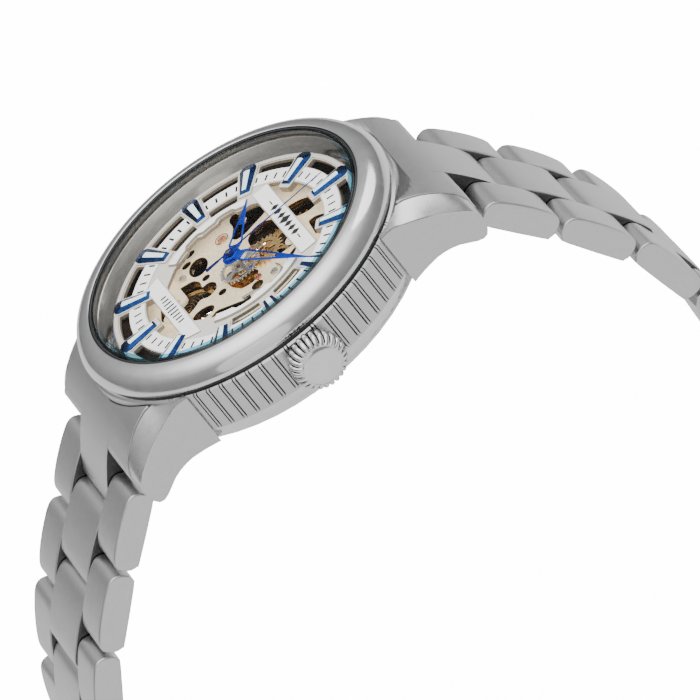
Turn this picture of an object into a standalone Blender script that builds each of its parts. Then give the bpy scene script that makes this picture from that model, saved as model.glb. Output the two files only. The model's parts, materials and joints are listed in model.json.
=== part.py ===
"""Skeleton wristwatch: head, hand-wound movement, hands, crown, bracelet and fold-over clasp.

The world origin is the centre of the case back's outer face. +Z points out of the dial, +Y to
12 o'clock and +X to the crown at 3 o'clock. Every length below is in millimetres, and MM turns
it into Blender's metres. Heights are measured from the dial's top face: every piece hangs on
an empty at the dial's centre, which stands above the origin by the depth of the case back.
"""

import math

import bmesh
import bpy
from mathutils import Matrix, Vector

MM = 0.001

# Head, from the crystal down to the back
BEZEL_RADIUS = 22.45
BEZEL_BORE = 19.33
BEZEL_TOP = 2.8
BEZEL_BOTTOM = -0.4
CRYSTAL_RADIUS = 18.93
CRYSTAL_TOP = 2.86
CRYSTAL_BOTTOM = 1.75
REHAUT_INNER = 17.4
REHAUT_OUTER = 19.2
CASE_RADIUS = 22.5
CASE_BORE = 18.9
CASE_TOP = -0.45
CASE_BOTTOM = -8.2
BACK_RADIUS = 21.3
BACK_BORE = 15.65
BACK_BOTTOM = -9.4
BACK_CRYSTAL_TOP = -8.65
GAP = 0.05
RING_SIDES = 48

# Dial
DIAL_RADIUS = 18.2
DIAL_THICKNESS = 0.8
WINDOW_RADII = (15.25, 16.6)
WINDOW_HALF_ANGLE = 8.6
SLOT_RADII = (11.6, 12.5)
SLOT_HALF_ANGLE = 10.0
OPENING_RADIUS = 9.7
UPPER_BAR = (6.55, 9.07)
LOWER_BAR = (-10.8, -8.5)
TRACK_INNER = 12.9

# Movement levels, as (low, high)
MOVEMENT_RADIUS = 15.2
PLATE_LEVEL = (-2.8, -1.8)
BRIDGE_LEVEL = (-7.2, -6.4)
COCK_LEVEL = (-1.75, -1.15)
DRUM_TEETH_LEVEL = (-3.3, -2.9)
DRUM_WALL_LOW = -4.35
RATCHET_LEVEL = (-4.85, -4.5)
CENTRE_LEVEL = (-5.3, -5.0)
THIRD_LEVEL = (-5.8, -5.5)
FOURTH_LEVEL = (-6.2, -5.95)
BALANCE_LEVEL = (-4.05, -3.65)
HAIRSPRING_LEVEL = (-3.3, -3.0)
CANNON_LEVEL = (-1.72, -1.48)
HOUR_WHEEL_LEVEL = (-1.35, -1.1)

# Wheel train: tooth counts and centre distances
BARREL_TEETH = 42
CENTRE_PINION = 7
CENTRE_TEETH = 48
THIRD_PINION = 6
THIRD_TEETH = 45
FOURTH_PINION = 6
FOURTH_TEETH = 45
ESCAPE_PINION = 6
ESCAPE_TEETH = 20
CANNON_TEETH = 8
MINUTE_WHEEL_TEETH = 24
MINUTE_PINION = 8
HOUR_WHEEL_TEETH = 32
RATCHET_TEETH = 30
CROWN_WHEEL_TEETH = 21
WINDING_TEETH = 7
WINDING_PINION_MODULE = 0.293
BARREL_AT = (7.14, 75.0)
THIRD_AT = (4.2, -29.0)
ESCAPE_AT = (4.07, -140.0)
MINUTE_WHEEL_AT = (3.4, 86.0)
CROWN_WHEEL_CENTRE = (8.6, 0.0)
BALANCE_CENTRE = (-2.75, -8.4)
BALANCE_RADIUS = 4.3

# Winding stem and crown, along +X
STEM_HEIGHT = -3.5
STEM_RADIUS = 0.55
STEM_INNER_X = 11.0
STEM_LENGTH = 13.6
WINDING_PINION_X = 12.3
CROWN_RADIUS = 3.7
CROWN_INNER_X = 23.3
CROWN_SKIRT = 2.75
CROWN_FLUTES = 26
FLUTE_DEPTH = 0.25

# Hands: the tip's radius and the clockwise angle from 12 o'clock
HOUR_HAND = (10.0, 305.0)
MINUTE_HAND = (14.3, 60.0)
SECONDS_HAND = (14.8, 357.0)

# Bracelet: pivots are walked out from the first one by each link's direction, in degrees
# below the horizontal, away from the case
LINK_WIDTH = 24.0
LUG_INNER = 12.15
LUG_OUTER = 15.0
CENTRE_WIDTH = 10.4
ROW_GROOVE = 0.15
FORK_INNER = CENTRE_WIDTH / 2.0 + ROW_GROOVE
LINK_PITCH = 10.85
HALF_THICK = 1.7
TONGUE_REACH = 3.55
SLOT_REACH = 3.75
PIN_RADIUS = 0.52
PIN_HOLE = 0.6
PIN_LENGTH = 21.2
FIRST_PIVOT = (27.5, -11.2)
UPPER_DIRECTIONS = (54.5, 60.2, 77.0, 86.0, 92.0, 97.0)
LOWER_DIRECTIONS = (42.0, 45.5, 58.0, 72.0, 84.0)

# Clasp, folded, hanging from the upper half. In its own frame: levels across it, and its
# hinges along it. Its length reaches the last lower hinge when the bracelet is closed.
CLASP_DIRECTION = 100.0
CLASP_SPAN = 48.8
COVER_LEVEL = (1.4, 2.25)
OUTER_BLADE = (0.2, 0.95)
INNER_BLADE = (-0.95, -0.2)
CLASP_WIDTH = 20.0
BLADE_WIDTH = 15.0
COVER_HINGE_BACK = 6.4
BLADE_HINGE_ALONG = 8.0
KNUCKLE = 0.95
END_EAR = 1.3

STEEL = ("steel", (0.60, 0.60, 0.61), 1.0, 0.25)
GLASS = ("glass", (0.85, 0.92, 0.95), 0.0, 0.03)
RUBBER = ("rubber", (0.02, 0.02, 0.02), 0.0, 0.7)
CREAM = ("cream", (0.86, 0.83, 0.77), 0.0, 0.45)
CHAMPAGNE = ("champagne", (0.78, 0.70, 0.58), 1.0, 0.35)
GOLD = ("gold", (0.83, 0.60, 0.28), 1.0, 0.25)
BLUE = ("blue", (0.02, 0.09, 0.75), 0.7, 0.3)
DARK = ("dark_steel", (0.18, 0.18, 0.2), 1.0, 0.35)


def clear_scene():
    for obj in list(bpy.data.objects):
        bpy.data.objects.remove(obj, do_unlink=True)


def new_collection(name):
    made = bpy.data.collections.new(name)
    bpy.context.scene.collection.children.link(made)
    return made


def material(finish, name):
    slot, color, metallic, roughness = finish
    made = bpy.data.materials.new(name + "_" + slot)
    made.use_nodes = True
    shader = made.node_tree.nodes["Principled BSDF"]
    shader.inputs["Base Color"].default_value = (*color, 1.0)
    shader.inputs["Metallic"].default_value = metallic
    shader.inputs["Roughness"].default_value = roughness
    return made


def add_part(name, mesh, finish):
    mesh.materials.clear()
    mesh.materials.append(material(finish, name))
    obj = bpy.data.objects.new(name, mesh)
    PARTS.objects.link(obj)
    return obj


def add_helper(name, mesh):
    obj = bpy.data.objects.new(name, mesh)
    obj.hide_render = True
    obj.display_type = "WIRE"
    CUTTERS.objects.link(obj)
    return obj


def combine(obj, helper, operation):
    step = obj.modifiers.new(operation.lower() + "_" + helper.name, "BOOLEAN")
    step.operation = operation
    step.solver = "EXACT"
    step.object = helper


def join(obj, *helpers):
    for helper in helpers:
        combine(obj, helper, "UNION")


def cut(obj, *helpers):
    for helper in helpers:
        combine(obj, helper, "DIFFERENCE")


def set_origin(name, x, y, z=0.0):
    """Puts a moving piece's origin on its joint's axis and leaves its shape where it is."""
    obj = bpy.data.objects[name]
    shift = Matrix.Translation((x * MM, y * MM, z * MM))
    obj.data.transform(shift.inverted())
    obj.matrix_world = obj.matrix_world @ shift


def smooth(mesh, angle=35.0):
    mesh.shade_smooth()
    mesh.set_sharp_from_angle(angle=math.radians(angle))


# Outlines are lists of (x, y) points


def polar(radius, degrees, centre=(0.0, 0.0)):
    angle = math.radians(degrees)
    return (centre[0] + radius * math.cos(angle), centre[1] + radius * math.sin(angle))


def arc(radius, start, end, steps, centre=(0.0, 0.0)):
    return [
        polar(radius, start + (end - start) * step / steps, centre)
        for step in range(steps + 1)
    ]


def circle(radius, sides, centre=(0.0, 0.0)):
    return arc(radius, 0.0, 360.0 - 360.0 / sides, sides - 1, centre)


def sector(inner, outer, start, end, steps, centre=(0.0, 0.0)):
    return arc(outer, start, end, steps, centre) + arc(inner, end, start, steps, centre)


def oval(half_x, half_y, sides, centre, turn=0.0):
    points = []
    for x, y in circle(1.0, sides):
        spun = Matrix.Rotation(math.radians(turn), 2) @ Vector((x * half_x, y * half_y))
        points.append((centre[0] + spun.x, centre[1] + spun.y))
    return points


def gear_outline(teeth, module, centre=(0.0, 0.0), towards=0.0, gap=False):
    """A spur gear whose tooth, or tooth gap, points in the direction towards, in degrees."""
    pitch = 360.0 / teeth
    radius = module * teeth / 2.0
    first = towards + (pitch / 2.0 if gap else 0.0)
    points = []
    for tooth in range(teeth):
        middle = first + tooth * pitch
        points.append(polar(radius + 0.85 * module, middle, centre))
        points.append(polar(radius - 1.2 * module, middle + 0.5 * pitch, centre))
    return points


def spoke_openings(inner, outer, count, centre, margin=9.0, turn=0.0):
    step = 360.0 / count
    return [
        sector(inner, outer, turn + n * step + margin, turn + (n + 1) * step - margin, 2, centre)
        for n in range(count)
    ]


# Meshes


def flat_mesh(name, outlines, level):
    """The first outline filled between the two heights of level, less the other outlines."""
    low, high = level
    curve = bpy.data.curves.new(name, "CURVE")
    curve.dimensions = "2D"
    curve.fill_mode = "BOTH"
    curve.extrude = (high - low) / 2.0 * MM
    for outline in outlines:
        spline = curve.splines.new("POLY")
        spline.points.add(len(outline) - 1)
        for point, (x, y) in zip(spline.points, outline):
            point.co = (x * MM, y * MM, 0.0, 1.0)
        spline.use_cyclic_u = True
    guide = bpy.data.objects.new(name, curve)
    bpy.context.scene.collection.objects.link(guide)
    graph = bpy.context.evaluated_depsgraph_get()
    mesh = bpy.data.meshes.new_from_object(guide.evaluated_get(graph))
    bpy.data.objects.remove(guide, do_unlink=True)
    bpy.data.curves.remove(curve)
    mesh.transform(Matrix.Translation((0.0, 0.0, (low + high) / 2.0 * MM)))
    weld(mesh)
    return mesh


def weld(mesh):
    shape = bmesh.new()
    shape.from_mesh(mesh)
    bmesh.ops.remove_doubles(shape, verts=shape.verts, dist=1e-7)
    bmesh.ops.recalc_face_normals(shape, faces=shape.faces)
    shape.to_mesh(mesh)
    shape.free()
    mesh.name = mesh.name + "_mesh"


def side_mesh(name, outline, low_x, high_x):
    """An outline in the Y-Z plane, extruded along X."""
    mesh = flat_mesh(name, [outline], (low_x, high_x))
    mesh.transform(Matrix(((0, 0, 1, 0), (1, 0, 0, 0), (0, 1, 0, 0), (0, 0, 0, 1))))
    return mesh


def rod_mesh(name, radius, low, high, sides, centre=(0.0, 0.0)):
    """A cylinder along Z between two heights."""
    shape = bmesh.new()
    bmesh.ops.create_cone(
        shape,
        cap_ends=True,
        segments=sides,
        radius1=radius * MM,
        radius2=radius * MM,
        depth=(high - low) * MM,
        matrix=Matrix.Translation((centre[0] * MM, centre[1] * MM, (low + high) / 2 * MM)),
    )
    mesh = bpy.data.meshes.new(name)
    shape.to_mesh(mesh)
    shape.free()
    smooth(mesh)
    return mesh


def cross_rod_mesh(name, radius, low_x, high_x, sides, at):
    """A cylinder along X, at a (y, z) place."""
    mesh = rod_mesh(name, radius, low_x, high_x, sides)
    mesh.transform(Matrix.Rotation(math.pi / 2.0, 4, "Y"))
    mesh.transform(Matrix.Translation((0.0, at[0] * MM, at[1] * MM)))
    return mesh


def turned(name, profile, sides, finish=None, closed=True):
    """A ring or a disc from a profile of (radius, height) points, outer side running down."""
    shape = bmesh.new()
    verts = [shape.verts.new((r * MM, 0.0, z * MM)) for r, z in profile]
    for first, second in zip(verts, verts[1:]):
        shape.edges.new((first, second))
    if closed:
        shape.edges.new((verts[-1], verts[0]))
    mesh = bpy.data.meshes.new(name)
    shape.to_mesh(mesh)
    shape.free()
    obj = add_part(name, mesh, finish) if finish else add_helper(name, mesh)
    screw = obj.modifiers.new("turn", "SCREW")
    screw.axis = "Z"
    screw.steps = sides
    screw.render_steps = sides
    screw.use_merge_vertices = True
    screw.merge_threshold = 1e-6
    screw.use_smooth_shade = True
    return obj


def plate(name, outlines, level, finish):
    return add_part(name, flat_mesh(name, outlines, level), finish)


# Head


def build_bezel():
    profile = [
        (19.6, BEZEL_TOP),
        (21.2, 2.25),
        (21.9, 1.5),
        (22.35, 0.7),
        (BEZEL_RADIUS, 0.2),
        (22.3, -0.15),
        (21.95, BEZEL_BOTTOM),
        (BEZEL_BORE, BEZEL_BOTTOM),
        (BEZEL_BORE, 2.6),
    ]
    turned("bezel", profile, RING_SIDES, STEEL)


def build_crystal():
    disc = flat_mesh("crystal", [circle(CRYSTAL_RADIUS, RING_SIDES)], (CRYSTAL_BOTTOM, CRYSTAL_TOP))
    add_part("crystal", disc, GLASS)
    inner = CRYSTAL_RADIUS + GAP
    outer = BEZEL_BORE - GAP
    rings = [circle(outer, RING_SIDES), circle(inner, RING_SIDES)]
    plate("crystal_gasket", rings, (CRYSTAL_BOTTOM, 2.72), RUBBER)


def build_rehaut():
    profile = [
        (REHAUT_OUTER, 1.68),
        (REHAUT_OUTER, GAP),
        (REHAUT_INNER, GAP),
        (18.75, 1.68),
    ]
    turned("rehaut_ring", profile, RING_SIDES, STEEL)


def lug_outline():
    return [
        (16.5, -1.9),
        (20.0, -3.3),
        (24.6, -5.9),
        (25.8, -7.6),
        (26.1, -9.6),
        (25.5, -11.1),
        (24.1, -11.1),
        (20.6, -9.35),
        (16.5, -8.6),
    ]


def mirrored(outline):
    return [(-y, z) for y, z in outline]


def build_case():
    profile = [
        (21.95, CASE_TOP),
        (CASE_RADIUS, -0.75),
        (CASE_RADIUS, -6.6),
        (21.9, CASE_BOTTOM),
        (CASE_BORE, CASE_BOTTOM),
        (CASE_BORE, CASE_TOP),
    ]
    case = turned("case_middle", profile, RING_SIDES, STEEL)
    for side, low_x, high_x in (("3", LUG_INNER, LUG_OUTER), ("9", -LUG_OUTER, -LUG_INNER)):
        upper = side_mesh("lug_12_" + side, lug_outline(), low_x, high_x)
        lower = side_mesh("lug_6_" + side, mirrored(lug_outline()), low_x, high_x)
        join(case, add_helper("lug_12_" + side, upper), add_helper("lug_6_" + side, lower))
    tunnel = cross_rod_mesh("stem_tunnel", 0.9, 14.0, 30.0, 16, (0.0, STEM_HEIGHT))
    seat = cross_rod_mesh("crown_seat", 3.9, 21.9, 30.0, 32, (0.0, STEM_HEIGHT))
    pocket = rod_mesh("back_pocket", BACK_RADIUS + 0.15, -12.0, CASE_BOTTOM, RING_SIDES)
    cut(case, add_helper("stem_tunnel", tunnel), add_helper("crown_seat", seat))
    cut(case, add_helper("back_pocket", pocket))


def build_case_back():
    profile = [
        (BACK_RADIUS, CASE_BOTTOM - GAP),
        (BACK_RADIUS, -8.9),
        (20.6, BACK_BOTTOM),
        (BACK_BORE, BACK_BOTTOM),
        (BACK_BORE, CASE_BOTTOM - GAP),
    ]
    turned("case_back", profile, RING_SIDES, STEEL)
    level = (BACK_BOTTOM, BACK_CRYSTAL_TOP)
    plate("case_back_crystal", [circle(BACK_BORE - GAP, RING_SIDES)], level, GLASS)


def build_movement_ring():
    rings = [circle(CASE_BORE - 0.08, RING_SIDES), circle(MOVEMENT_RADIUS + 0.1, RING_SIDES)]
    ring = plate("movement_ring", rings, (-6.3, -DIAL_THICKNESS - GAP), DARK)
    hole = cross_rod_mesh("ring_tunnel", 0.9, 12.0, 20.0, 12, (0.0, STEM_HEIGHT))
    cut(ring, add_helper("ring_tunnel", hole))


# Dial


def bar_segment(edge, radius, steps):
    """The part of a disc that lies beyond a horizontal line at height edge."""
    reach = math.degrees(math.asin(abs(edge) / radius))
    if edge > 0:
        return arc(radius, reach, 180.0 - reach, steps)
    return arc(radius, 180.0 + reach, 360.0 - reach, steps)


def central_opening():
    top = math.degrees(math.asin(UPPER_BAR[0] / OPENING_RADIUS))
    bottom = math.degrees(math.asin(LOWER_BAR[1] / OPENING_RADIUS))
    right = arc(OPENING_RADIUS, bottom, top, 10)
    left = arc(OPENING_RADIUS, 180.0 - top, 180.0 - bottom, 10)
    return right + left


def build_dial():
    outlines = [circle(DIAL_RADIUS, RING_SIDES), central_opening()]
    for hour in range(12):
        middle = 15.0 + 30.0 * hour
        low, high = middle - WINDOW_HALF_ANGLE, middle + WINDOW_HALF_ANGLE
        outlines.append(sector(*WINDOW_RADII, low, high, 3))
    for middle in (-15.0, 15.0, 165.0, 195.0):
        low, high = middle - SLOT_HALF_ANGLE, middle + SLOT_HALF_ANGLE
        outlines.append(sector(*SLOT_RADII, low, high, 3))
    outlines.append(bar_segment(UPPER_BAR[1], TRACK_INNER, 10))
    outlines.append(bar_segment(LOWER_BAR[0], TRACK_INNER, 10))
    plate("dial", outlines, (-DIAL_THICKNESS, 0.0), CREAM)


# Movement


BARREL = polar(*BARREL_AT)
THIRD = polar(*THIRD_AT)
ESCAPE = polar(*ESCAPE_AT)
MINUTE_WHEEL = polar(*MINUTE_WHEEL_AT)
BARREL_MODULE = 2.0 * BARREL_AT[0] / (BARREL_TEETH + CENTRE_PINION)
CENTRE_MODULE = 2.0 * THIRD_AT[0] / (CENTRE_TEETH + THIRD_PINION)
THIRD_MODULE = 2.0 * THIRD_AT[0] / (THIRD_TEETH + FOURTH_PINION)
FOURTH_MODULE = 2.0 * ESCAPE_AT[0] / (FOURTH_TEETH + ESCAPE_PINION)
CANNON_MODULE = 2.0 * MINUTE_WHEEL_AT[0] / (CANNON_TEETH + MINUTE_WHEEL_TEETH)
HOUR_MODULE = 2.0 * MINUTE_WHEEL_AT[0] / (HOUR_WHEEL_TEETH + MINUTE_PINION)


def between(first, second):
    """The distance from one centre to another, and the direction in degrees."""
    dx, dy = second[0] - first[0], second[1] - first[1]
    return math.hypot(dx, dy), math.degrees(math.atan2(dy, dx))


RATCHET_SPAN, CROWN_TO_BARREL = between(CROWN_WHEEL_CENTRE, BARREL)
WINDING_MODULE = 2.0 * RATCHET_SPAN / (RATCHET_TEETH + CROWN_WHEEL_TEETH)


def build_main_plate():
    outlines = [
        circle(MOVEMENT_RADIUS, RING_SIDES),
        circle(0.6, 12),
        circle(0.85, 12, BARREL),
        circle(0.25, 8, THIRD),
        circle(0.25, 8, ESCAPE),
        circle(4.75, 24, BALANCE_CENTRE),
        sector(2.2, 5.3, -70.0, 8.0, 4, BARREL),
        sector(2.2, 5.3, 30.0, 112.0, 4, BARREL),
        sector(2.2, 5.3, 132.0, 205.0, 4, BARREL),
        sector(1.2, 3.4, -110.0, 65.0, 6, THIRD),
        oval(1.2, 2.1, 12, (-8.0, -4.6), 20.0),
        oval(0.8, 1.3, 10, (-9.6, -0.2), -8.0),
        oval(1.4, 2.4, 12, (6.6, -9.2), -40.0),
    ]
    body = plate("main_plate", outlines, PLATE_LEVEL, CHAMPAGNE)
    post = rod_mesh("minute_wheel_post", 0.25, PLATE_LEVEL[1] - 0.3, -0.98, 10, MINUTE_WHEEL)
    boss = rod_mesh("crown_wheel_post", 0.9, -4.9, PLATE_LEVEL[0] + 0.3, 12, CROWN_WHEEL_CENTRE)
    join(body, add_helper("minute_wheel_post", post), add_helper("crown_wheel_post", boss))
    notch = box_mesh("pinion_notch", (11.9, -1.7, -3.5), (16.0, 1.7, -1.0))
    cut(body, add_helper("pinion_notch", notch))


def build_train_bridge():
    outlines = [
        circle(MOVEMENT_RADIUS, RING_SIDES),
        circle(0.2, 8),
        circle(0.85, 12, BARREL),
        circle(0.25, 8, THIRD),
        circle(0.25, 8, ESCAPE),
        circle(0.25, 8, BALANCE_CENTRE),
    ]
    outlines += spoke_openings(1.6, 4.4, 3, BALANCE_CENTRE, 10.0, 215.0)
    outlines += spoke_openings(1.9, 5.0, 4, BARREL, 9.0, 30.0)
    outlines.append(sector(8.6, 12.4, -38.0, -10.0, 5))
    outlines.append(sector(8.6, 12.4, 150.0, 190.0, 6))
    body = plate("train_bridge", outlines, BRIDGE_LEVEL, CHAMPAGNE)
    for number, degrees in enumerate((20.0, 110.0, 200.0, 290.0)):
        centre = polar(13.5, degrees)
        name = "pillar_" + str(number)
        post = rod_mesh(name, 1.0, BRIDGE_LEVEL[1] - 0.3, PLATE_LEVEL[0] - GAP, 12, centre)
        join(body, add_helper(name, post))
    pallet_pin = rod_mesh("pallet_pin", 0.15, BRIDGE_LEVEL[1] - 0.3, -5.4, 8, pallet_centre())
    join(body, add_helper("pallet_pin", pallet_pin))


def build_balance_cock():
    foot = (-9.2, -9.2)
    _, heading = between(BALANCE_CENTRE, foot)
    tip = arc(1.1, heading - 90.0, heading - 270.0, 6, BALANCE_CENTRE)
    end = arc(1.9, heading + 90.0, heading - 90.0, 8, foot)
    outline = tip + end
    outlines = [outline, circle(0.25, 8, BALANCE_CENTRE)]
    plate("balance_cock", outlines, COCK_LEVEL, CHAMPAGNE)


def build_barrel():
    teeth = gear_outline(BARREL_TEETH, BARREL_MODULE, BARREL, BARREL_AT[1] + 180.0)
    holes = spoke_openings(1.7, 4.6, 4, BARREL, 12.0)
    drum = plate("barrel_drum", [teeth, circle(0.8, 12, BARREL), *holes], DRUM_TEETH_LEVEL, GOLD)
    rings = [circle(5.6, 20, BARREL), circle(5.2, 20, BARREL)]
    wall = flat_mesh("drum_wall", rings, (DRUM_WALL_LOW, DRUM_TEETH_LEVEL[0] + 0.1))
    join(drum, add_helper("drum_wall", wall))


def ribbon_spiral(inner, outer, turns, steps, width, centre):
    """The closed outline of a flat ribbon wound in a spiral."""
    forward, back = [], []
    count = int(turns * steps)
    for step in range(count + 1):
        radius = inner + (outer - inner) * step / count
        angle = 360.0 * step / steps
        forward.append(polar(radius - width / 2.0, angle, centre))
        back.append(polar(radius + width / 2.0, angle, centre))
    return forward + back[::-1]


def build_springs():
    outline = ribbon_spiral(1.3, 4.95, 4.5, 14, 0.2, BARREL)
    plate("mainspring", [outline], (-4.25, -3.4), DARK)
    outline = ribbon_spiral(0.6, 3.1, 5.25, 14, 0.08, BALANCE_CENTRE)
    plate("hairspring", [outline], HAIRSPRING_LEVEL, GOLD)


def build_centre_wheel():
    third_way = THIRD_AT[1]
    rim = gear_outline(CENTRE_TEETH, CENTRE_MODULE, (0.0, 0.0), third_way)
    holes = spoke_openings(1.3, 2.9, 4, (0.0, 0.0), 11.0)
    wheel = plate("centre_wheel", [rim, *holes], CENTRE_LEVEL, GOLD)
    leaves = gear_outline(CENTRE_PINION, BARREL_MODULE, (0.0, 0.0), BARREL_AT[1], True)
    pinion = flat_mesh("centre_pinion", [leaves], (-3.35, -2.86))
    leaves = gear_outline(CANNON_TEETH, CANNON_MODULE, (0.0, 0.0), MINUTE_WHEEL_AT[1], True)
    cannon = flat_mesh("cannon_pinion", [leaves], CANNON_LEVEL)
    tube = rod_mesh("centre_tube", 0.44, CENTRE_LEVEL[0] - 0.1, 1.02, 12)
    bore = rod_mesh("centre_bore", 0.24, -6.0, 2.0, 10)
    join(wheel, add_helper("centre_pinion", pinion), add_helper("cannon_pinion", cannon))
    join(wheel, add_helper("centre_tube", tube))
    cut(wheel, add_helper("centre_bore", bore))


def arbor(name, radius, level, centre, sides=10):
    return add_helper(name, rod_mesh(name, radius, level[0], level[1], sides, centre))


def build_third_wheel():
    back = THIRD_AT[1] + 180.0
    rim = gear_outline(THIRD_TEETH, THIRD_MODULE, THIRD, back)
    holes = spoke_openings(1.1, 2.9, 4, THIRD, 12.0)
    wheel = plate("third_wheel", [rim, *holes], THIRD_LEVEL, GOLD)
    leaves = gear_outline(THIRD_PINION, CENTRE_MODULE, THIRD, back, True)
    pinion = flat_mesh("third_pinion", [leaves], (-5.6, -4.95))
    join(wheel, add_helper("third_pinion", pinion))
    join(wheel, arbor("third_arbor", 0.18, (-7.1, -2.0), THIRD))


def build_fourth_wheel():
    rim = gear_outline(FOURTH_TEETH, FOURTH_MODULE, (0.0, 0.0), ESCAPE_AT[1])
    holes = spoke_openings(0.9, 2.9, 4, (0.0, 0.0), 12.0)
    wheel = plate("fourth_wheel", [rim, *holes], FOURTH_LEVEL, GOLD)
    leaves = gear_outline(FOURTH_PINION, THIRD_MODULE, (0.0, 0.0), THIRD_AT[1], True)
    pinion = flat_mesh("fourth_pinion", [leaves], (-6.05, -5.48))
    join(wheel, add_helper("fourth_pinion", pinion))
    join(wheel, arbor("fourth_arbor", 0.15, (-7.1, 1.44), (0.0, 0.0)))


def escape_outline():
    """Pointed teeth that lean forward."""
    points = []
    pitch = 360.0 / ESCAPE_TEETH
    for tooth in range(ESCAPE_TEETH):
        start = tooth * pitch
        points.append(polar(1.6, start, ESCAPE))
        points.append(polar(2.2, start + 0.30 * pitch, ESCAPE))
        points.append(polar(2.2, start + 0.42 * pitch, ESCAPE))
        points.append(polar(1.6, start + 0.50 * pitch, ESCAPE))
    return points


def build_escape_wheel():
    holes = spoke_openings(0.6, 1.3, 4, ESCAPE, 15.0)
    wheel = plate("escape_wheel", [escape_outline(), *holes], THIRD_LEVEL, STEEL)
    leaves = gear_outline(ESCAPE_PINION, FOURTH_MODULE, ESCAPE, ESCAPE_AT[1] + 180.0, True)
    pinion = flat_mesh("escape_pinion", [leaves], (-6.25, -5.6))
    join(wheel, add_helper("escape_pinion", pinion))
    join(wheel, arbor("escape_arbor", 0.11, (-7.1, -2.0), ESCAPE))


def pallet_centre():
    _, heading = between(ESCAPE, BALANCE_CENTRE)
    return polar(2.95, heading, ESCAPE)


def build_pallet_fork():
    centre = pallet_centre()
    _, heading = between(centre, BALANCE_CENTRE)
    lever = [
        (-0.35, -1.9),
        (-0.6, -1.9),
        (0.05, -0.45),
        (0.4, -0.25),
        (1.9, -0.14),
        (2.2, -0.38),
        (2.55, -0.38),
        (2.45, -0.13),
        (2.1, -0.1),
        (2.1, 0.1),
        (2.45, 0.13),
        (2.55, 0.38),
        (2.2, 0.38),
        (1.9, 0.14),
        (0.4, 0.25),
        (0.05, 0.45),
        (-0.6, 1.9),
        (-0.35, 1.9),
        (-0.62, 0.55),
        (-0.62, -0.55),
    ]
    turn = Matrix.Rotation(math.radians(heading), 2)
    outline = []
    for x, y in lever:
        spun = turn @ Vector((x, y))
        outline.append((centre[0] + spun.x, centre[1] + spun.y))
    plate("pallet_fork", [outline, circle(0.2, 8, centre)], THIRD_LEVEL, STEEL)


def build_balance():
    centre = BALANCE_CENTRE
    rings = [circle(BALANCE_RADIUS, 32, centre)]
    rings += spoke_openings(0.9, 3.75, 3, centre, 5.0, 30.0)
    wheel = plate("balance_wheel", rings, BALANCE_LEVEL, GOLD)
    join(wheel, arbor("balance_staff", 0.18, (-7.1, -1.25), centre))
    join(wheel, arbor("roller", 0.85, (-5.35, -5.1), centre, 14))
    _, heading = between(centre, pallet_centre())
    join(wheel, arbor("impulse_pin", 0.08, (-5.45, -5.2), polar(0.62, heading, centre), 6))


def build_motion_works():
    back = MINUTE_WHEEL_AT[1] + 180.0
    rim = gear_outline(MINUTE_WHEEL_TEETH, CANNON_MODULE, MINUTE_WHEEL, back)
    wheel = plate("minute_wheel", [rim], CANNON_LEVEL, GOLD)
    leaves = gear_outline(MINUTE_PINION, HOUR_MODULE, MINUTE_WHEEL, back, True)
    pinion = flat_mesh("minute_pinion", [leaves], (-1.6, -1.05))
    join(wheel, add_helper("minute_pinion", pinion))
    cut(wheel, arbor("minute_bore", 0.32, (-2.5, 0.0), MINUTE_WHEEL))
    rim = gear_outline(HOUR_WHEEL_TEETH, HOUR_MODULE, (0.0, 0.0), MINUTE_WHEEL_AT[1])
    wheel = plate("hour_wheel", [rim], HOUR_WHEEL_LEVEL, GOLD)
    join(wheel, arbor("hour_tube", 0.8, (-1.34, 0.68), (0.0, 0.0), 14))
    cut(wheel, arbor("hour_bore", 0.54, (-3.0, 2.0), (0.0, 0.0), 14))


# Winding works


def build_winding_works():
    rim = gear_outline(CROWN_WHEEL_TEETH, WINDING_MODULE, CROWN_WHEEL_CENTRE, 0.0, True)
    plate("crown_wheel", [rim, circle(0.98, 12, CROWN_WHEEL_CENTRE)], RATCHET_LEVEL, STEEL)
    # The ratchet wheel is turned so that its teeth fall in the crown wheel's gaps
    crown_pitch = 360.0 / CROWN_WHEEL_TEETH
    phase = (CROWN_TO_BARREL / crown_pitch) % 1.0
    tooth_ahead = (0.5 - phase) * 360.0 / RATCHET_TEETH
    facing = CROWN_TO_BARREL + 180.0 - tooth_ahead
    rim = gear_outline(RATCHET_TEETH, WINDING_MODULE, BARREL, facing, True)
    wheel = plate("ratchet_wheel", [rim], RATCHET_LEVEL, STEEL)
    join(wheel, arbor("barrel_arbor", 0.7, (-7.15, -1.9), BARREL, 12))


def along_x(mesh, x):
    """Turns a mesh made about Z so that its axis is the stem's, with its z = 0 at x."""
    mesh.transform(Matrix.Rotation(math.pi / 2.0, 4, "Y"))
    mesh.transform(Matrix.Translation((x * MM, 0.0, STEM_HEIGHT * MM)))
    return mesh


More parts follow.
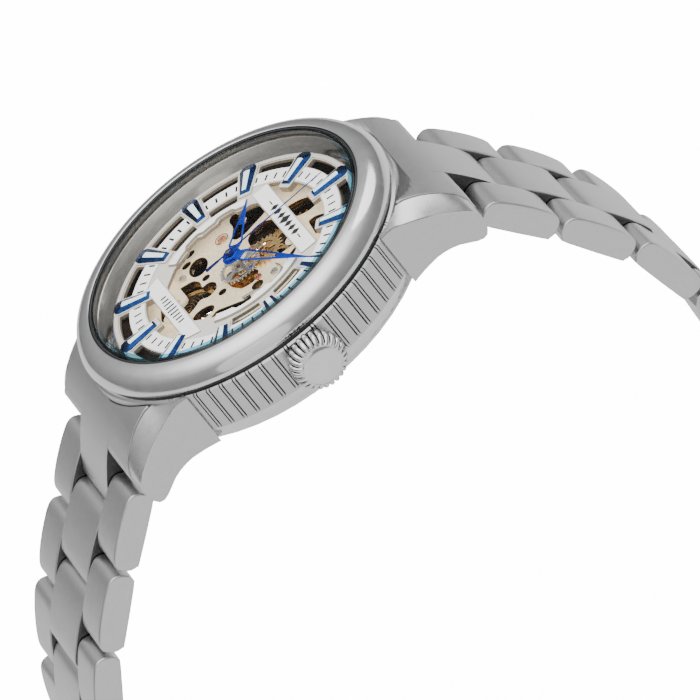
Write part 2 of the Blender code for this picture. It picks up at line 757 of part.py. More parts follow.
def build_stem_and_crown():
    leaves = gear_outline(WINDING_TEETH, WINDING_PINION_MODULE, (0.0, 0.0), 0.0)
    bore = circle(STEM_RADIUS + GAP, 12)
    mesh = flat_mesh("winding_pinion", [leaves, bore], (0.0, 0.9))
    add_part("winding_pinion", along_x(mesh, WINDING_PINION_X), STEEL)
    rod = rod_mesh("winding_stem", STEM_RADIUS, 0.0, STEM_LENGTH, 12)
    add_part("winding_stem", along_x(rod, STEM_INNER_X), STEEL)
    points = []
    for step in range(CROWN_FLUTES * 2):
        radius = CROWN_RADIUS - FLUTE_DEPTH * (step % 2)
        points.append(polar(radius, 180.0 * step / CROWN_FLUTES))
    skirt = along_x(flat_mesh("crown", [points], (0.0, CROWN_SKIRT)), CROWN_INNER_X)
    crown = add_part("crown", skirt, STEEL)
    cap = [(0.0, 3.4), (1.8, 3.3), (2.9, 3.05), (3.25, 2.7), (3.25, 2.4), (0.0, 2.4)]
    dome = turned("crown_cap", cap, 24, closed=False)
    place_cap = Matrix.Translation((CROWN_INNER_X * MM, 0.0, STEM_HEIGHT * MM))
    dome.matrix_world = place_cap @ Matrix.Rotation(math.pi / 2.0, 4, "Y")
    join(crown, dome)
    socket = rod_mesh("crown_socket", STEM_RADIUS + GAP, -1.0, 1.5, 12)
    cut(crown, add_helper("crown_socket", along_x(socket, CROWN_INNER_X)))


# Hands


def hand_outline(length, half_width, tail, shoulder):
    """A lance that widens from its hub to shoulder and narrows to a point, along +Y."""
    right = [
        (0.45, -tail),
        (0.5, 0.6),
        (half_width, shoulder),
        (half_width * 0.45, shoulder + (length - shoulder) * 0.55),
        (0.06, length),
    ]
    left = [(-x, y) for x, y in reversed(right)]
    return right + left


def slot_outline(half_width, low, high):
    return [(-0.14, low), (0.14, low), (half_width - 0.33, high), (-half_width + 0.33, high)]


def turn_clockwise(mesh, degrees):
    mesh.transform(Matrix.Rotation(-math.radians(degrees), 4, "Z"))
    return mesh


def build_hand(name, tip, degrees, half_width, shoulder, level, hub, bore, tail=0.0):
    outline = hand_outline(tip, half_width, tail, shoulder)
    slot = slot_outline(half_width, hub + 0.15, shoulder)
    mesh = turn_clockwise(flat_mesh(name, [outline, slot], level), degrees)
    hand = add_part(name, mesh, BLUE)
    join(hand, arbor(name + "_hub", hub, (level[0] - 0.02, level[1] + 0.04), (0.0, 0.0), 20))
    cut(hand, arbor(name + "_bore", bore, (-1.0, 3.0), (0.0, 0.0), 16))


def build_hands():
    build_hand("hour_hand", *HOUR_HAND, 0.95, 6.0, (0.44, 0.6), 1.3, 0.86)
    build_hand("minute_hand", *MINUTE_HAND, 0.8, 9.4, (0.84, 1.0), 1.05, 0.5)
    tip, degrees = SECONDS_HAND
    outline = [(0.2, -3.4), (0.13, 0.0), (0.05, tip), (-0.05, tip), (-0.13, 0.0), (-0.2, -3.4)]
    mesh = turn_clockwise(flat_mesh("seconds_hand", [outline], (1.25, 1.38)), degrees)
    hand = add_part("seconds_hand", mesh, BLUE)
    join(hand, arbor("seconds_hub", 0.6, (1.22, 1.42), (0.0, 0.0), 16))
    cut(hand, arbor("seconds_bore", 0.2, (1.0, 3.0), (0.0, 0.0), 12))


# Bracelet. Links are made in their own frame, with u along the link in Y and v outwards in Z,
# and then stood in place about their first pivot.


def outer_row_outline():
    nose = arc(HALF_THICK, 90.0, 270.0, 6)
    end = LINK_PITCH - HALF_THICK - 0.2
    return nose + [
        (end - 0.5, -HALF_THICK),
        (end, -HALF_THICK + 0.5),
        (end, HALF_THICK - 0.6),
        (end - 0.6, HALF_THICK),
    ]


def tongue_arc(steps=3):
    reach = math.degrees(math.asin(HALF_THICK / TONGUE_REACH))
    return [
        (LINK_PITCH + x, y)
        for x, y in arc(TONGUE_REACH, -reach, reach, steps)
    ]


def slot_arc(steps=3):
    reach = math.degrees(math.asin(HALF_THICK / SLOT_REACH))
    return arc(SLOT_REACH, reach, -reach, steps)


def link_mesh():
    """One link, whose origin is its own hinge axis and whose next hinge is one pitch along u."""
    half = LINK_WIDTH / 2.0
    inner = CENTRE_WIDTH / 2.0 + ROW_GROOVE
    link = add_helper("link_shape", side_mesh("link_a", outer_row_outline(), inner, half))
    mirror = side_mesh("link_b", outer_row_outline(), -half, -inner)
    centre = side_mesh("link_c", slot_arc() + tongue_arc(), -inner + ROW_GROOVE, inner - ROW_GROOVE)
    web = [(4.2, -1.3), (8.2, -1.3), (8.2, 1.3), (4.2, 1.3)]
    bridge = side_mesh("link_d", web, -half + 3.0, half - 3.0)
    reach = PIN_LENGTH / 2.0 + 0.2
    hole_a = cross_rod_mesh("link_e", PIN_HOLE, -reach, reach, 8, (0.0, 0.0))
    hole_b = cross_rod_mesh("link_f", PIN_HOLE, -inner, inner, 8, (LINK_PITCH, 0.0))
    helpers = [add_helper("link_other_row", mirror), add_helper("link_centre", centre)]
    helpers.append(add_helper("link_web", bridge))
    holes = [add_helper("link_hole_a", hole_a), add_helper("link_hole_b", hole_b)]
    join(link, *helpers)
    cut(link, *holes)
    graph = bpy.context.evaluated_depsgraph_get()
    mesh = bpy.data.meshes.new_from_object(link.evaluated_get(graph))
    for helper in (link, *helpers, *holes):
        bpy.data.objects.remove(helper, do_unlink=True)
    smooth(mesh)
    return mesh


def walk(directions, side):
    """The hinge points of one half of the bracelet, in (y, z)."""
    points = [(side * FIRST_PIVOT[0], FIRST_PIVOT[1])]
    for degrees in directions:
        y, z = points[-1]
        angle = math.radians(degrees)
        y += side * LINK_PITCH * math.cos(angle)
        points.append((y, z - LINK_PITCH * math.sin(angle)))
    return points


def place(side, degrees, at):
    """The pose of a piece made along +Y: u runs along the chain and v points outwards."""
    angle = math.radians(degrees)
    along = Vector((0.0, side * math.cos(angle), -math.sin(angle)))
    outward = Vector((0.0, side * math.sin(angle), math.cos(angle)))
    across = along.cross(outward)
    pose = Matrix.Identity(4)
    pose.col[0] = (*across, 0.0)
    pose.col[1] = (*along, 0.0)
    pose.col[2] = (*outward, 0.0)
    pose.col[3] = (0.0, at[0] * MM, at[1] * MM, 1.0)
    return pose


def add_pin(name, at, length=PIN_LENGTH, radius=PIN_RADIUS):
    mesh = cross_rod_mesh(name, radius, -length / 2.0, length / 2.0, 8, (0.0, 0.0))
    pin = add_part(name, mesh, STEEL)
    pin.location = (0.0, at[0] * MM, at[1] * MM)
    return pin


def build_links():
    shape = link_mesh()
    for label, directions, side in (("upper", UPPER_DIRECTIONS, 1), ("lower", LOWER_DIRECTIONS, -1)):
        points = walk(directions, side)
        for number, degrees in enumerate(directions):
            name = "bracelet_" + label + "_link_" + str(number + 1)
            link = add_part(name, shape.copy(), STEEL)
            link.matrix_world = place(side, degrees, points[number])
            add_pin("hinge_pin_" + label + "_" + str(number + 1), points[number])


def end_link_tongue(degrees):
    """The tongue that reaches from the end link's hood round the first hinge."""
    angle = math.radians(degrees)
    along = Vector((math.cos(angle), -math.sin(angle)))
    outward = Vector((math.sin(angle), math.cos(angle)))
    pivot = Vector(FIRST_PIVOT)
    reach = math.asin(HALF_THICK / TONGUE_REACH)
    tip = []
    for step in range(6):
        turn = reach - 2.0 * reach * step / 5.0
        tip.append(pivot + TONGUE_REACH * (math.cos(turn) * along + math.sin(turn) * outward))
    points = [Vector((24.3, -5.2)), Vector((26.35, -6.7)), pivot + HALF_THICK * outward]
    points += tip + [pivot - HALF_THICK * outward, Vector((24.4, -9.9))]
    return [(p.x, p.y) for p in reversed(points)]


def hood_outline():
    return [
        (18.6, -1.15),
        (20.2, -1.4),
        (24.35, -4.2),
        (26.3, -6.5),
        (26.4, -8.6),
        (25.2, -10.3),
        (23.2, -10.2),
        (19.2, -8.1),
        (18.6, -8.1),
    ]


def build_end_links():
    half = LINK_WIDTH / 2.0
    for label, side, degrees in (("upper", 1, UPPER_DIRECTIONS[0]), ("lower", -1, LOWER_DIRECTIONS[0])):
        hood, tongue = hood_outline(), end_link_tongue(degrees)
        if side < 0:
            hood, tongue = mirrored(hood), mirrored(tongue)
        name = "end_link_" + label
        body = add_part(name, side_mesh(name, hood, -half, half), STEEL)
        half_centre = CENTRE_WIDTH / 2.0
        strip = side_mesh(name + "_tongue", tongue, -half_centre, half_centre)
        join(body, add_helper(name + "_tongue", strip))
        bore = rod_mesh(name + "_bore", CASE_RADIUS + 0.12, -14.0, 2.0, 72)
        at = (side * FIRST_PIVOT[0], FIRST_PIVOT[1])
        hole = cross_rod_mesh(name + "_hole", PIN_HOLE, -half_centre - 1.0, half_centre + 1.0, 10, at)
        cut(body, add_helper(name + "_bore", bore), add_helper(name + "_hole", hole))


# Clasp. Its own frame has its origin on the last upper hinge, u along the folded clasp in Y,
# and v outwards, away from the wrist, in Z.


def box_mesh(name, low, high):
    outline = [(low[1], low[2]), (high[1], low[2]), (high[1], high[2]), (low[1], high[2])]
    return side_mesh(name, outline, low[0], high[0])


def strip_outline(level, start, end):
    return [(start, level[0]), (end, level[0]), (end, level[1]), (start, level[1])]


def knuckle(name, at, low_x, high_x, radius=KNUCKLE):
    return add_helper(name, cross_rod_mesh(name, radius, low_x, high_x, 12, at))


def set_pose(pose, *objects):
    for obj in objects:
        obj.matrix_world = pose


def build_cover(pose, span):
    half = CLASP_WIDTH / 2.0
    hinge = (span - COVER_HINGE_BACK, 0.55)
    end = span - COVER_HINGE_BACK + 1.4
    middle = span / 2.0
    outline = [
        (-1.0, -0.6),
        (0.0, -1.3),
        (1.4, -0.9),
        (3.2, 1.0),
        (middle, COVER_LEVEL[0] + 0.6),
        (end - 1.0, COVER_LEVEL[0]),
        (end, COVER_LEVEL[0]),
        (end, COVER_LEVEL[1] - 0.3),
        (middle, COVER_LEVEL[1] + 0.6),
        (6.0, COVER_LEVEL[1] + 0.1),
        (1.2, 1.7),
        (-0.7, 1.1),
        (-1.2, 0.2),
    ]
    cover = add_part("clasp_cover", side_mesh("clasp_cover", outline, -half, half), STEEL)
    tools = []
    slot = box_mesh("cover_slot", (-FORK_INNER, -3.0, -3.0), (FORK_INNER, 4.6, 4.0))
    tools.append(add_helper("cover_slot", slot))
    inner = BLADE_WIDTH / 2.0 + 0.15
    ears = []
    for label, low, high in (("a", inner, inner + 1.6), ("b", -inner - 1.6, -inner)):
        lug = [(hinge[0] - 1.2, 2.0), (hinge[0] - 1.2, 0.0), (hinge[0] - 0.5, -0.5)]
        lug += [(hinge[0] + 0.5, -0.5), (hinge[0] + 1.2, 0.0), (hinge[0] + 1.2, 1.7)]
        ears.append(add_helper("cover_ear_" + label, side_mesh("cover_ear", lug, low, high)))
    join(cover, *ears)
    bore = cross_rod_mesh("cover_bore", PIN_HOLE - 0.1, -inner - 1.4, inner + 1.4, 10, hinge)
    tools.append(add_helper("cover_bore", bore))
    cut(cover, *tools)
    bar = knuckle("cover_bar", (0.0, 0.0), -FORK_INNER - 0.35, FORK_INNER + 0.35, PIN_RADIUS)
    join(cover, bar)
    set_pose(pose, cover, bar, *ears, *tools)
    return hinge


def build_blades(pose, span, cover_hinge):
    half = BLADE_WIDTH / 2.0
    blade_hinge = (BLADE_HINGE_ALONG, 0.0)
    outer_strip = strip_outline(OUTER_BLADE, BLADE_HINGE_ALONG, cover_hinge[0])
    outer = add_part("clasp_outer_blade", side_mesh("outer_blade", outer_strip, -half, half), STEEL)
    at_cover = knuckle("outer_knuckle_a", cover_hinge, -half, half, 0.75)
    at_blade = knuckle("outer_knuckle_b", blade_hinge, -half, half)
    join(outer, at_cover, at_blade)
    notch = box_mesh("outer_notch", (-3.2, 6.0, -2.0), (3.2, 9.4, 2.0))
    notch = add_helper("outer_notch", notch)
    holes = [notch, knuckle("outer_hole_a", cover_hinge, -9, 9, 0.45)]
    holes.append(knuckle("outer_hole_b", blade_hinge, -9, 9, 0.45))
    cut(outer, *holes)
    set_pose(pose, outer, at_cover, at_blade, *holes)
    inner_strip = strip_outline(INNER_BLADE, BLADE_HINGE_ALONG, span - 4.3)
    inner = add_part("clasp_inner_blade", side_mesh("inner_blade", inner_strip, -3.0, 3.0), STEEL)
    wide = box_mesh("inner_wide", (-half, 10.2, INNER_BLADE[0]), (half, span - 5.0, INNER_BLADE[1]))
    wide = add_helper("inner_wide", wide)
    root = knuckle("inner_knuckle", blade_hinge, -3.0, 3.0)
    pieces = [wide, root]
    for label, low, high in (("a", FORK_INNER, half), ("b", -half, -FORK_INNER)):
        arm = side_mesh("arm", strip_outline(INNER_BLADE, span - 7.0, span), low, high)
        pieces.append(add_helper("inner_arm_" + label, arm))
        pieces.append(knuckle("inner_ear_" + label, (span, 0.0), low, high, END_EAR))
    join(inner, *pieces)
    holes = [knuckle("inner_hole_a", blade_hinge, -9, 9, 0.45)]
    holes.append(knuckle("inner_hole_b", (span, 0.0), -9, 9, PIN_HOLE))
    cut(inner, *holes)
    set_pose(pose, inner, *pieces, *holes)
    return blade_hinge


def build_clasp():
    pose = place(1, CLASP_DIRECTION, walk(UPPER_DIRECTIONS, 1)[-1])
    span = CLASP_SPAN
    cover_hinge = build_cover(pose, span)
    blade_hinge = build_blades(pose, span, cover_hinge)
    set_origin("clasp_outer_blade", 0.0, *cover_hinge)
    set_origin("clasp_inner_blade", 0.0, *blade_hinge)
    inner = BLADE_WIDTH / 2.0 + 0.15
    for name, at, length in (
        ("clasp_cover_pin", cover_hinge, 2.0 * inner + 2.4),
        ("clasp_blade_pin", blade_hinge, BLADE_WIDTH - 0.6),
    ):
        mesh = cross_rod_mesh(name, 0.38, -length / 2.0, length / 2.0, 10, at)
        pin = add_part(name, mesh, STEEL)
        set_pose(pose, pin)


def set_wheel_origins():
    centres = {
        "barrel_drum": BARREL,
        "mainspring": BARREL,
        "ratchet_wheel": BARREL,
        "third_wheel": THIRD,
        "escape_wheel": ESCAPE,
        "minute_wheel": MINUTE_WHEEL,
        "crown_wheel": CROWN_WHEEL_CENTRE,
        "balance_wheel": BALANCE_CENTRE,
        "hairspring": BALANCE_CENTRE,
        "pallet_fork": pallet_centre(),
    }
    for name, centre in centres.items():
        set_origin(name, *centre)
    for name in ("winding_pinion", "winding_stem", "crown"):
        set_origin(name, 0.0, 0.0, STEM_HEIGHT)


def hang_on_dial_centre():
    """Lifts every piece so that the case back's outer face is at height zero."""
    centre = bpy.data.objects.new("dial_centre", None)
    centre.location = (0.0, 0.0, -BACK_BOTTOM * MM)
    for obj in (*PARTS.objects, *CUTTERS.objects):
        obj.parent = centre
    PARTS.objects.link(centre)


clear_scene()
PARTS = new_collection("skeleton_wristwatch")
CUTTERS = new_collection("cutters")

build_case()
build_bezel()
build_crystal()
build_rehaut()
build_case_back()
build_movement_ring()
build_dial()
build_main_plate()
build_train_bridge()
build_balance_cock()
build_barrel()
build_springs()
build_centre_wheel()
build_third_wheel()
build_fourth_wheel()
build_escape_wheel()
build_pallet_fork()
build_balance()
build_motion_works()
build_winding_works()
build_stem_and_crown()
build_hands()
build_links()
build_end_links()
build_clasp()
set_wheel_origins()
hang_on_dial_centre()
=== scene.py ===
"""The looks of the skeleton wristwatch, built round its CAD frame.

Shapes are drawn in millimetres, with the dial's top face at height zero, and to_world() puts
them in the frame. Links and other chain pieces are drawn in their own frame: u along the
chain, v outwards.
"""

import json
import math

import bmesh
import bpy
from mathutils import Matrix, Vector
from mathutils.geometry import tessellate_polygon


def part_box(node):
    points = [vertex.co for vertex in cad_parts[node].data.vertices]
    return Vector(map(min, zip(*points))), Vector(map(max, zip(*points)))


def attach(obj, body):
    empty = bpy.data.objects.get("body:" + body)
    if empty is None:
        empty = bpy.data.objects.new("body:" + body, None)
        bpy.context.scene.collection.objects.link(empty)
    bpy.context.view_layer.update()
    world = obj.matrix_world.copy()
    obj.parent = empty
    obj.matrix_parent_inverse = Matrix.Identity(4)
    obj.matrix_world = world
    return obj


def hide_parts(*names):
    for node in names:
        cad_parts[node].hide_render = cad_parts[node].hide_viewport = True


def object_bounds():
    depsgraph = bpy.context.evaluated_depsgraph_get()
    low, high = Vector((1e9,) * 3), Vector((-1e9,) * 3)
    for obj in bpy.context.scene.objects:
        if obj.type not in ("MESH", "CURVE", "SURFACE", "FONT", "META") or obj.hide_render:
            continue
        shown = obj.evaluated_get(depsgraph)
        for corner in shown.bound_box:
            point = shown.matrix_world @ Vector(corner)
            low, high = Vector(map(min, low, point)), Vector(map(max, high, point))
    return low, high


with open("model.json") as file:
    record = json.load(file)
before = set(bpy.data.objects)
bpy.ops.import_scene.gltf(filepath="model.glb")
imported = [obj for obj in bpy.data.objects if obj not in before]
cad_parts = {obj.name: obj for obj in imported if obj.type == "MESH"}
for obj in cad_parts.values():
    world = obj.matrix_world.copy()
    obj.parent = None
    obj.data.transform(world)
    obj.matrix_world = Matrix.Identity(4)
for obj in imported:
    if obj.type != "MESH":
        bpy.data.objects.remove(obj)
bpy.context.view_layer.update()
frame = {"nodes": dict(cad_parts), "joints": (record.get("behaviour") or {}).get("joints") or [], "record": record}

MM = 0.001
DIAL_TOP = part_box("dial")[1].z
JOINTS = {joint["name"]: joint for joint in frame["joints"]}

# Camera, in the dial's millimetres
CAMERA_AT = (908.4, -6.9, 532.0)
CAMERA_RIGHT = (0.33586, 0.77371, -0.53719)
CAMERA_UP = (-0.39642, 0.63346, 0.66452)
CAMERA_LENS = 448.0

# Studio: the sky's brightness by height, and lights by place, size and power
SKY = ((0.0, 0.085), (0.3, 0.12), (0.55, 0.17), (0.75, 0.32), (0.9, 0.75), (1.0, 1.0))
SKY_STRENGTH = 3.0
LIGHTS = (
    ("front", (0.75, -0.35, 0.3), (0.8, 0.8), 1.0),
    ("behind", (-0.35, 0.55, 0.55), (0.5, 0.5), 1.4),
)
FLOOR_GLOW = 14.0
FLOOR_HALF = 4.0
FLOOR_GAP = 0.0005

# Head
GASKET_RADII = (18.98, 19.28)
CASE_RADIUS = 22.5
CASE_BORE = 18.9
FLUTE_STEP = 4.75
FLUTE_FIRST = 4.45
FLUTE_LAST = 49.0
FLUTE_DEPTH = 0.3
STEM_HEIGHT = -3.5
CROWN_FLUTES = 26
FLUTE_ROWS = 8
LUG_INNER = 12.15

# Dial
DIAL_EDGE = 18.2
OPENING_RADIUS = 9.35
WINDOW_RADII = (15.3, 16.65)
SLOT_RADII = (11.45, 12.75)
MARKER_RADII = (12.3, 17.45)
PAD_RADII = (11.7, 17.7)
TRACK_RADII = (12.95, 15.2)
TICK_RADII = (13.5, 14.5)
TICK_HALF = 0.14
PRINT_EDGE = 0.004

# Bracelet
LINK_WIDTH = 24.0
CENTRE_WIDTH = 10.4
ROW_GROOVE = 0.15
LINK_PITCH = 10.85


# Edges bent by more degrees than this stay sharp
SHARP = 34.0


# Outlines, as lists of (x, y)


def polar(radius, degrees, centre=(0.0, 0.0)):
    angle = math.radians(degrees)
    return (centre[0] + radius * math.cos(angle), centre[1] + radius * math.sin(angle))


def arc(radius, start, end, steps, centre=(0.0, 0.0)):
    return [
        polar(radius, start + (end - start) * step / steps, centre) for step in range(steps + 1)
    ]


def circle(radius, sides=96, centre=(0.0, 0.0)):
    return arc(radius, 0.0, 360.0 - 360.0 / sides, sides - 1, centre)


def ring(inner, outer, sides=144, centre=(0.0, 0.0)):
    """Two outlines for a flat ring: the solid disc, then its hole."""
    return [circle(outer, sides, centre), circle(inner, sides, centre)]


def sector(inner, outer, start, end, steps=10, centre=(0.0, 0.0)):
    return arc(outer, start, end, steps, centre) + arc(inner, end, start, steps, centre)


def rounded(points, radius, steps=4):
    """The same outline with each corner turned into a short curve."""
    made = []
    count = len(points)
    for index, point in enumerate(points):
        corner = Vector(point)
        before = Vector(points[index - 1]) - corner
        after = Vector(points[(index + 1) % count]) - corner
        start = corner + before.normalized() * min(radius, before.length * 0.45)
        end = corner + after.normalized() * min(radius, after.length * 0.45)
        for step in range(steps + 1):
            share = step / steps
            first = start.lerp(corner, share)
            spot = first.lerp(corner.lerp(end, share), share)
            made.append((spot.x, spot.y))
    return made


def oval(half_x, half_y, centre, turn=0.0, sides=28):
    spin = Matrix.Rotation(math.radians(turn), 2)
    made = []
    for x, y in circle(1.0, sides):
        spot = spin @ Vector((x * half_x, y * half_y))
        made.append((centre[0] + spot.x, centre[1] + spot.y))
    return made


def turned_outline(points, degrees, centre=(0.0, 0.0)):
    spin = Matrix.Rotation(math.radians(degrees), 2)
    made = []
    for point in points:
        spot = spin @ Vector(point)
        made.append((centre[0] + spot.x, centre[1] + spot.y))
    return made


def gear_outline(teeth, module, centre, towards, gap=False):
    """Trapezoid teeth with flat tips and roots; a tooth or a gap points along towards."""
    pitch = 360.0 / teeth
    radius = module * teeth / 2.0
    first = towards + (pitch / 2.0 if gap else 0.0)
    made = []
    for tooth in range(teeth):
        middle = first + tooth * pitch
        for share, height in ((-0.27, -1.1), (-0.12, 0.85), (0.12, 0.85), (0.27, -1.1)):
            made.append(polar(radius + height * module, middle + share * pitch, centre))
    return made


def spoke_openings(inner, outer, count, centre, margin=9.0, turn=0.0):
    step = 360.0 / count
    made = []
    for index in range(count):
        start = turn + index * step
        shape = sector(inner, outer, start + margin, start + step - margin, 8, centre)
        made.append(shape)
    return made


# Meshes


def signed_area(points):
    total = 0.0
    for (x0, y0), (x1, y1) in zip(points, points[1:] + points[:1]):
        total += x0 * y1 - x1 * y0
    return total / 2.0


def inset(points, distance):
    """Moves each point of an outline to its left by distance."""
    made = []
    count = len(points)
    for index, point in enumerate(points):
        here = Vector(point)
        back = (here - Vector(points[index - 1])).normalized()
        ahead = (Vector(points[(index + 1) % count]) - here).normalized()
        left = Vector((-back.y - ahead.y, back.x + ahead.x))
        if left.length < 1e-6:
            left = Vector((-back.y, back.x))
        left.normalize()
        spread = max(0.5, left.dot(Vector((-back.y, back.x))))
        spot = here + left * (distance / spread)
        made.append((spot.x, spot.y))
    return made


def slab(shape, outlines, low, high, edge=0.05, steps=1, wall=0):
    """Adds a flat plate with softened edges: the first outline is solid, the others are holes."""
    rings = []
    levels = []
    for step in range(steps + 1):
        angle = math.pi / 2.0 * step / steps
        levels.append((edge * (1.0 - math.sin(angle)), low + edge * (1.0 - math.cos(angle))))
    levels += [(shift, low + high - height) for shift, height in reversed(levels)]
    for index, outline in enumerate(outlines):
        wanted = 1.0 if index == 0 else -1.0
        loop = outline if signed_area(outline) * wanted > 0 else outline[::-1]
        rows = []
        for shift, height in levels:
            spots = inset(loop, shift) if shift else loop
            rows.append([shape.verts.new((x, y, height)) for x, y in spots])
        rings.append(rows)
        for under, over in zip(rows, rows[1:]):
            for near in range(len(loop)):
                far = (near + 1) % len(loop)
                face = shape.faces.new((under[near], under[far], over[far], over[near]))
                face.material_index = wall
    for end in (0, -1):
        verts = [vert for rows in rings for vert in rows[end]]
        loops = [[vert.co.copy() for vert in rows[end]] for rows in rings]
        for triangle in tessellate_polygon(loops):
            corners = [verts[index] for index in triangle]
            if len(set(corners)) == 3:
                shape.faces.new(corners)


def even_angles(count):
    return [360.0 / count * step for step in range(count)]


def lathe(shape, profile, angles, flute=None, closed=True):
    """Turns (radius, height, flute depth) rows about Z. Radius 0 ends the shape on the axis."""
    rows = []
    for radius, height, *depth in profile:
        if radius == 0.0:
            rows.append([shape.verts.new((0.0, 0.0, height))] * len(angles))
            continue
        row = []
        for degrees in angles:
            cut = depth[0] * flute(degrees) if depth and flute else 0.0
            x, y = polar(radius - cut, degrees)
            row.append(shape.verts.new((x, y, height)))
        rows.append(row)
    pairs = list(zip(rows, rows[1:]))
    if closed:
        pairs.append((rows[-1], rows[0]))
    for first, second in pairs:
        for near in range(len(angles)):
            far = (near + 1) % len(angles)
            corners = []
            for vert in (first[near], first[far], second[far], second[near]):
                if vert not in corners:
                    corners.append(vert)
            if len(corners) > 2:
                shape.faces.new(corners)


def curve_through(points, steps=5):
    """A smooth row of points through the given ones, by Catmull and Rom's rule."""
    made = []
    for index in range(len(points) - 1):
        before = Vector(points[max(index - 1, 0)])
        start = Vector(points[index])
        end = Vector(points[index + 1])
        after = Vector(points[min(index + 2, len(points) - 1)])
        for step in range(steps):
            t = step / steps
            spot = 0.5 * (
                2.0 * start
                + (end - before) * t
                + (2.0 * before - 5.0 * start + 4.0 * end - after) * t * t
                + (3.0 * start - before - 3.0 * end + after) * t * t * t
            )
            made.append(tuple(spot))
    made.append(tuple(points[-1]))
    return made


def to_world(shape):
    place = Matrix.Translation((0.0, 0.0, DIAL_TOP)) @ Matrix.Scale(MM, 4)
    bmesh.ops.transform(shape, matrix=place, verts=shape.verts)


def across(shape):
    """Stands a shape drawn in (u, v) up, so that its height runs along X."""
    turn = Matrix(((0, 0, 1, 0), (1, 0, 0, 0), (0, 1, 0, 0), (0, 0, 0, 1)))
    bmesh.ops.transform(shape, matrix=turn, verts=shape.verts)


def mesh_object(name, shape):
    mesh = bpy.data.meshes.new(name)
    shape.to_mesh(mesh)
    shape.free()
    made = bpy.data.objects.new(name, mesh)
    bpy.context.scene.collection.objects.link(made)
    return made


def shade_evenly(piece, sharp):
    piece.data.set_sharp_from_angle(angle=math.radians(sharp))
    even = piece.modifiers.new("even_shading", "WEIGHTED_NORMAL")
    even.keep_sharp = True


def add_piece(name, shape, finishes, body="case", stands_for=(), sharp=SHARP, slot=None, pose=None):
    """Makes the object, gives it its finishes and lets it ride on its body."""
    bmesh.ops.recalc_face_normals(shape, faces=shape.faces)
    piece = mesh_object(name, shape)
    for finish in finishes:
        piece.data.materials.append(finish)
    piece.data.shade_smooth()
    if pose:
        piece.matrix_world = pose @ Matrix.Scale(1.0 / MM, 4)
    shade_evenly(piece, sharp)
    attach(piece, body)
    if stands_for:
        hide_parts(*stands_for)
    # Blender numbers a finish when the CAD frame already has a material of that name.
    return piece


def dial_piece(name, shape, finishes, *args, **options):
    to_world(shape)
    return add_piece(name, shape, finishes, *args, **options)


def slab_piece(name, plates, finishes, *args, **options):
    """A piece made of plates, each one given by the numbers that slab() takes."""
    shape = bmesh.new()
    for plate in plates:
        slab(shape, *plate)
    return dial_piece(name, shape, finishes, *args, **options)


def lathe_piece(name, profile, count, finishes, *args, **options):
    shape = bmesh.new()
    lathe(shape, profile, even_angles(count))
    return dial_piece(name, shape, finishes, *args, **options)


# Finishes


def new_finish(name):
    made = bpy.data.materials.new(name)
    made.use_nodes = True
    tree = made.node_tree
    return made, tree, tree.nodes["Principled BSDF"]


def add_node(tree, kind, **values):
    node = tree.nodes.new(kind)
    for key, value in values.items():
        if key in node.inputs:
            node.inputs[key].default_value = value
        else:
            setattr(node, key, value)
    return node


def join(tree, source, output, target, entry):
    tree.links.new(source.outputs[output], target.inputs[entry])


def set_inputs(node, **values):
    """Sets a node's inputs by their names, with _ for a space."""
    for key, value in values.items():
        node.inputs[key.replace("_", " ")].default_value = value


def triple(value):
    """One number stands for three alike: a grey, or an even grain."""
    return value if isinstance(value, tuple) else (value, value, value)


def grain(tree, stretch, detail=4.0):
    """Noise in the piece's own millimetres, drawn out by one or three stretch numbers."""
    place = add_node(tree, "ShaderNodeTexCoord")
    fit = add_node(tree, "ShaderNodeMapping")
    set_inputs(fit, Scale=[value / MM for value in triple(stretch)])
    noise = add_node(tree, "ShaderNodeTexNoise", Scale=1.0, Detail=detail, Roughness=0.6)
    join(tree, place, "Object", fit, "Vector")
    join(tree, fit, "Vector", noise, "Vector")
    return noise.outputs["Fac"]


def spread(tree, source, low, high):
    """Stretches a 0 to 1 value over another range."""
    node = add_node(tree, "ShaderNodeMapRange")
    set_inputs(node, From_Min=0.3, From_Max=0.7, To_Min=low, To_Max=high)
    tree.links.new(source, node.inputs["Value"])
    return node.outputs["Result"]


def blend_colors(tree, factor, first, second):
    node = tree.nodes.new("ShaderNodeMix")
    node.data_type = "RGBA"
    node.inputs["A"].default_value = (*triple(first), 1.0)
    node.inputs["B"].default_value = (*triple(second), 1.0)
    tree.links.new(factor, node.inputs["Factor"])
    return node.outputs["Result"]


def bump(tree, shader, source, strength, depth):
    node = add_node(tree, "ShaderNodeBump", Strength=strength, Distance=depth * MM)
    tree.links.new(source, node.inputs["Height"])
    join(tree, node, "Normal", shader, "Normal")


def surface(name, colors, metallic, roughness, stretch, relief, coat=0.0):
    """A finish with a drawn-out grain in its colour, roughness and relief."""
    made, tree, shader = new_finish(name)
    lines = grain(tree, stretch)
    clouds = grain(tree, 0.12, 2.0)
    color = blend_colors(tree, spread(tree, lines, 0.0, 1.0), *colors)
    tree.links.new(color, shader.inputs["Base Color"])
    mixed = add_node(tree, "ShaderNodeMath", operation="ADD")
    tree.links.new(spread(tree, lines, roughness[0], roughness[1]), mixed.inputs[0])
    tree.links.new(spread(tree, clouds, -0.02, 0.03), mixed.inputs[1])
    join(tree, mixed, "Value", shader, "Roughness")
    set_inputs(shader, Metallic=metallic, Coat_Weight=coat, Coat_Roughness=0.08)
    bump(tree, shader, lines, relief, 0.02)
    return made


def glowing(finish, strength):
    """Adds painted light: emission in the surface's own colour, so that it reads brighter than the lamps light it.
    """
    shader = finish.node_tree.nodes["Principled BSDF"]
    source = shader.inputs["Base Color"].links[0].from_socket
    finish.node_tree.links.new(source, shader.inputs["Emission Color"])
    shader.inputs["Emission Strength"].default_value = strength
    return finish


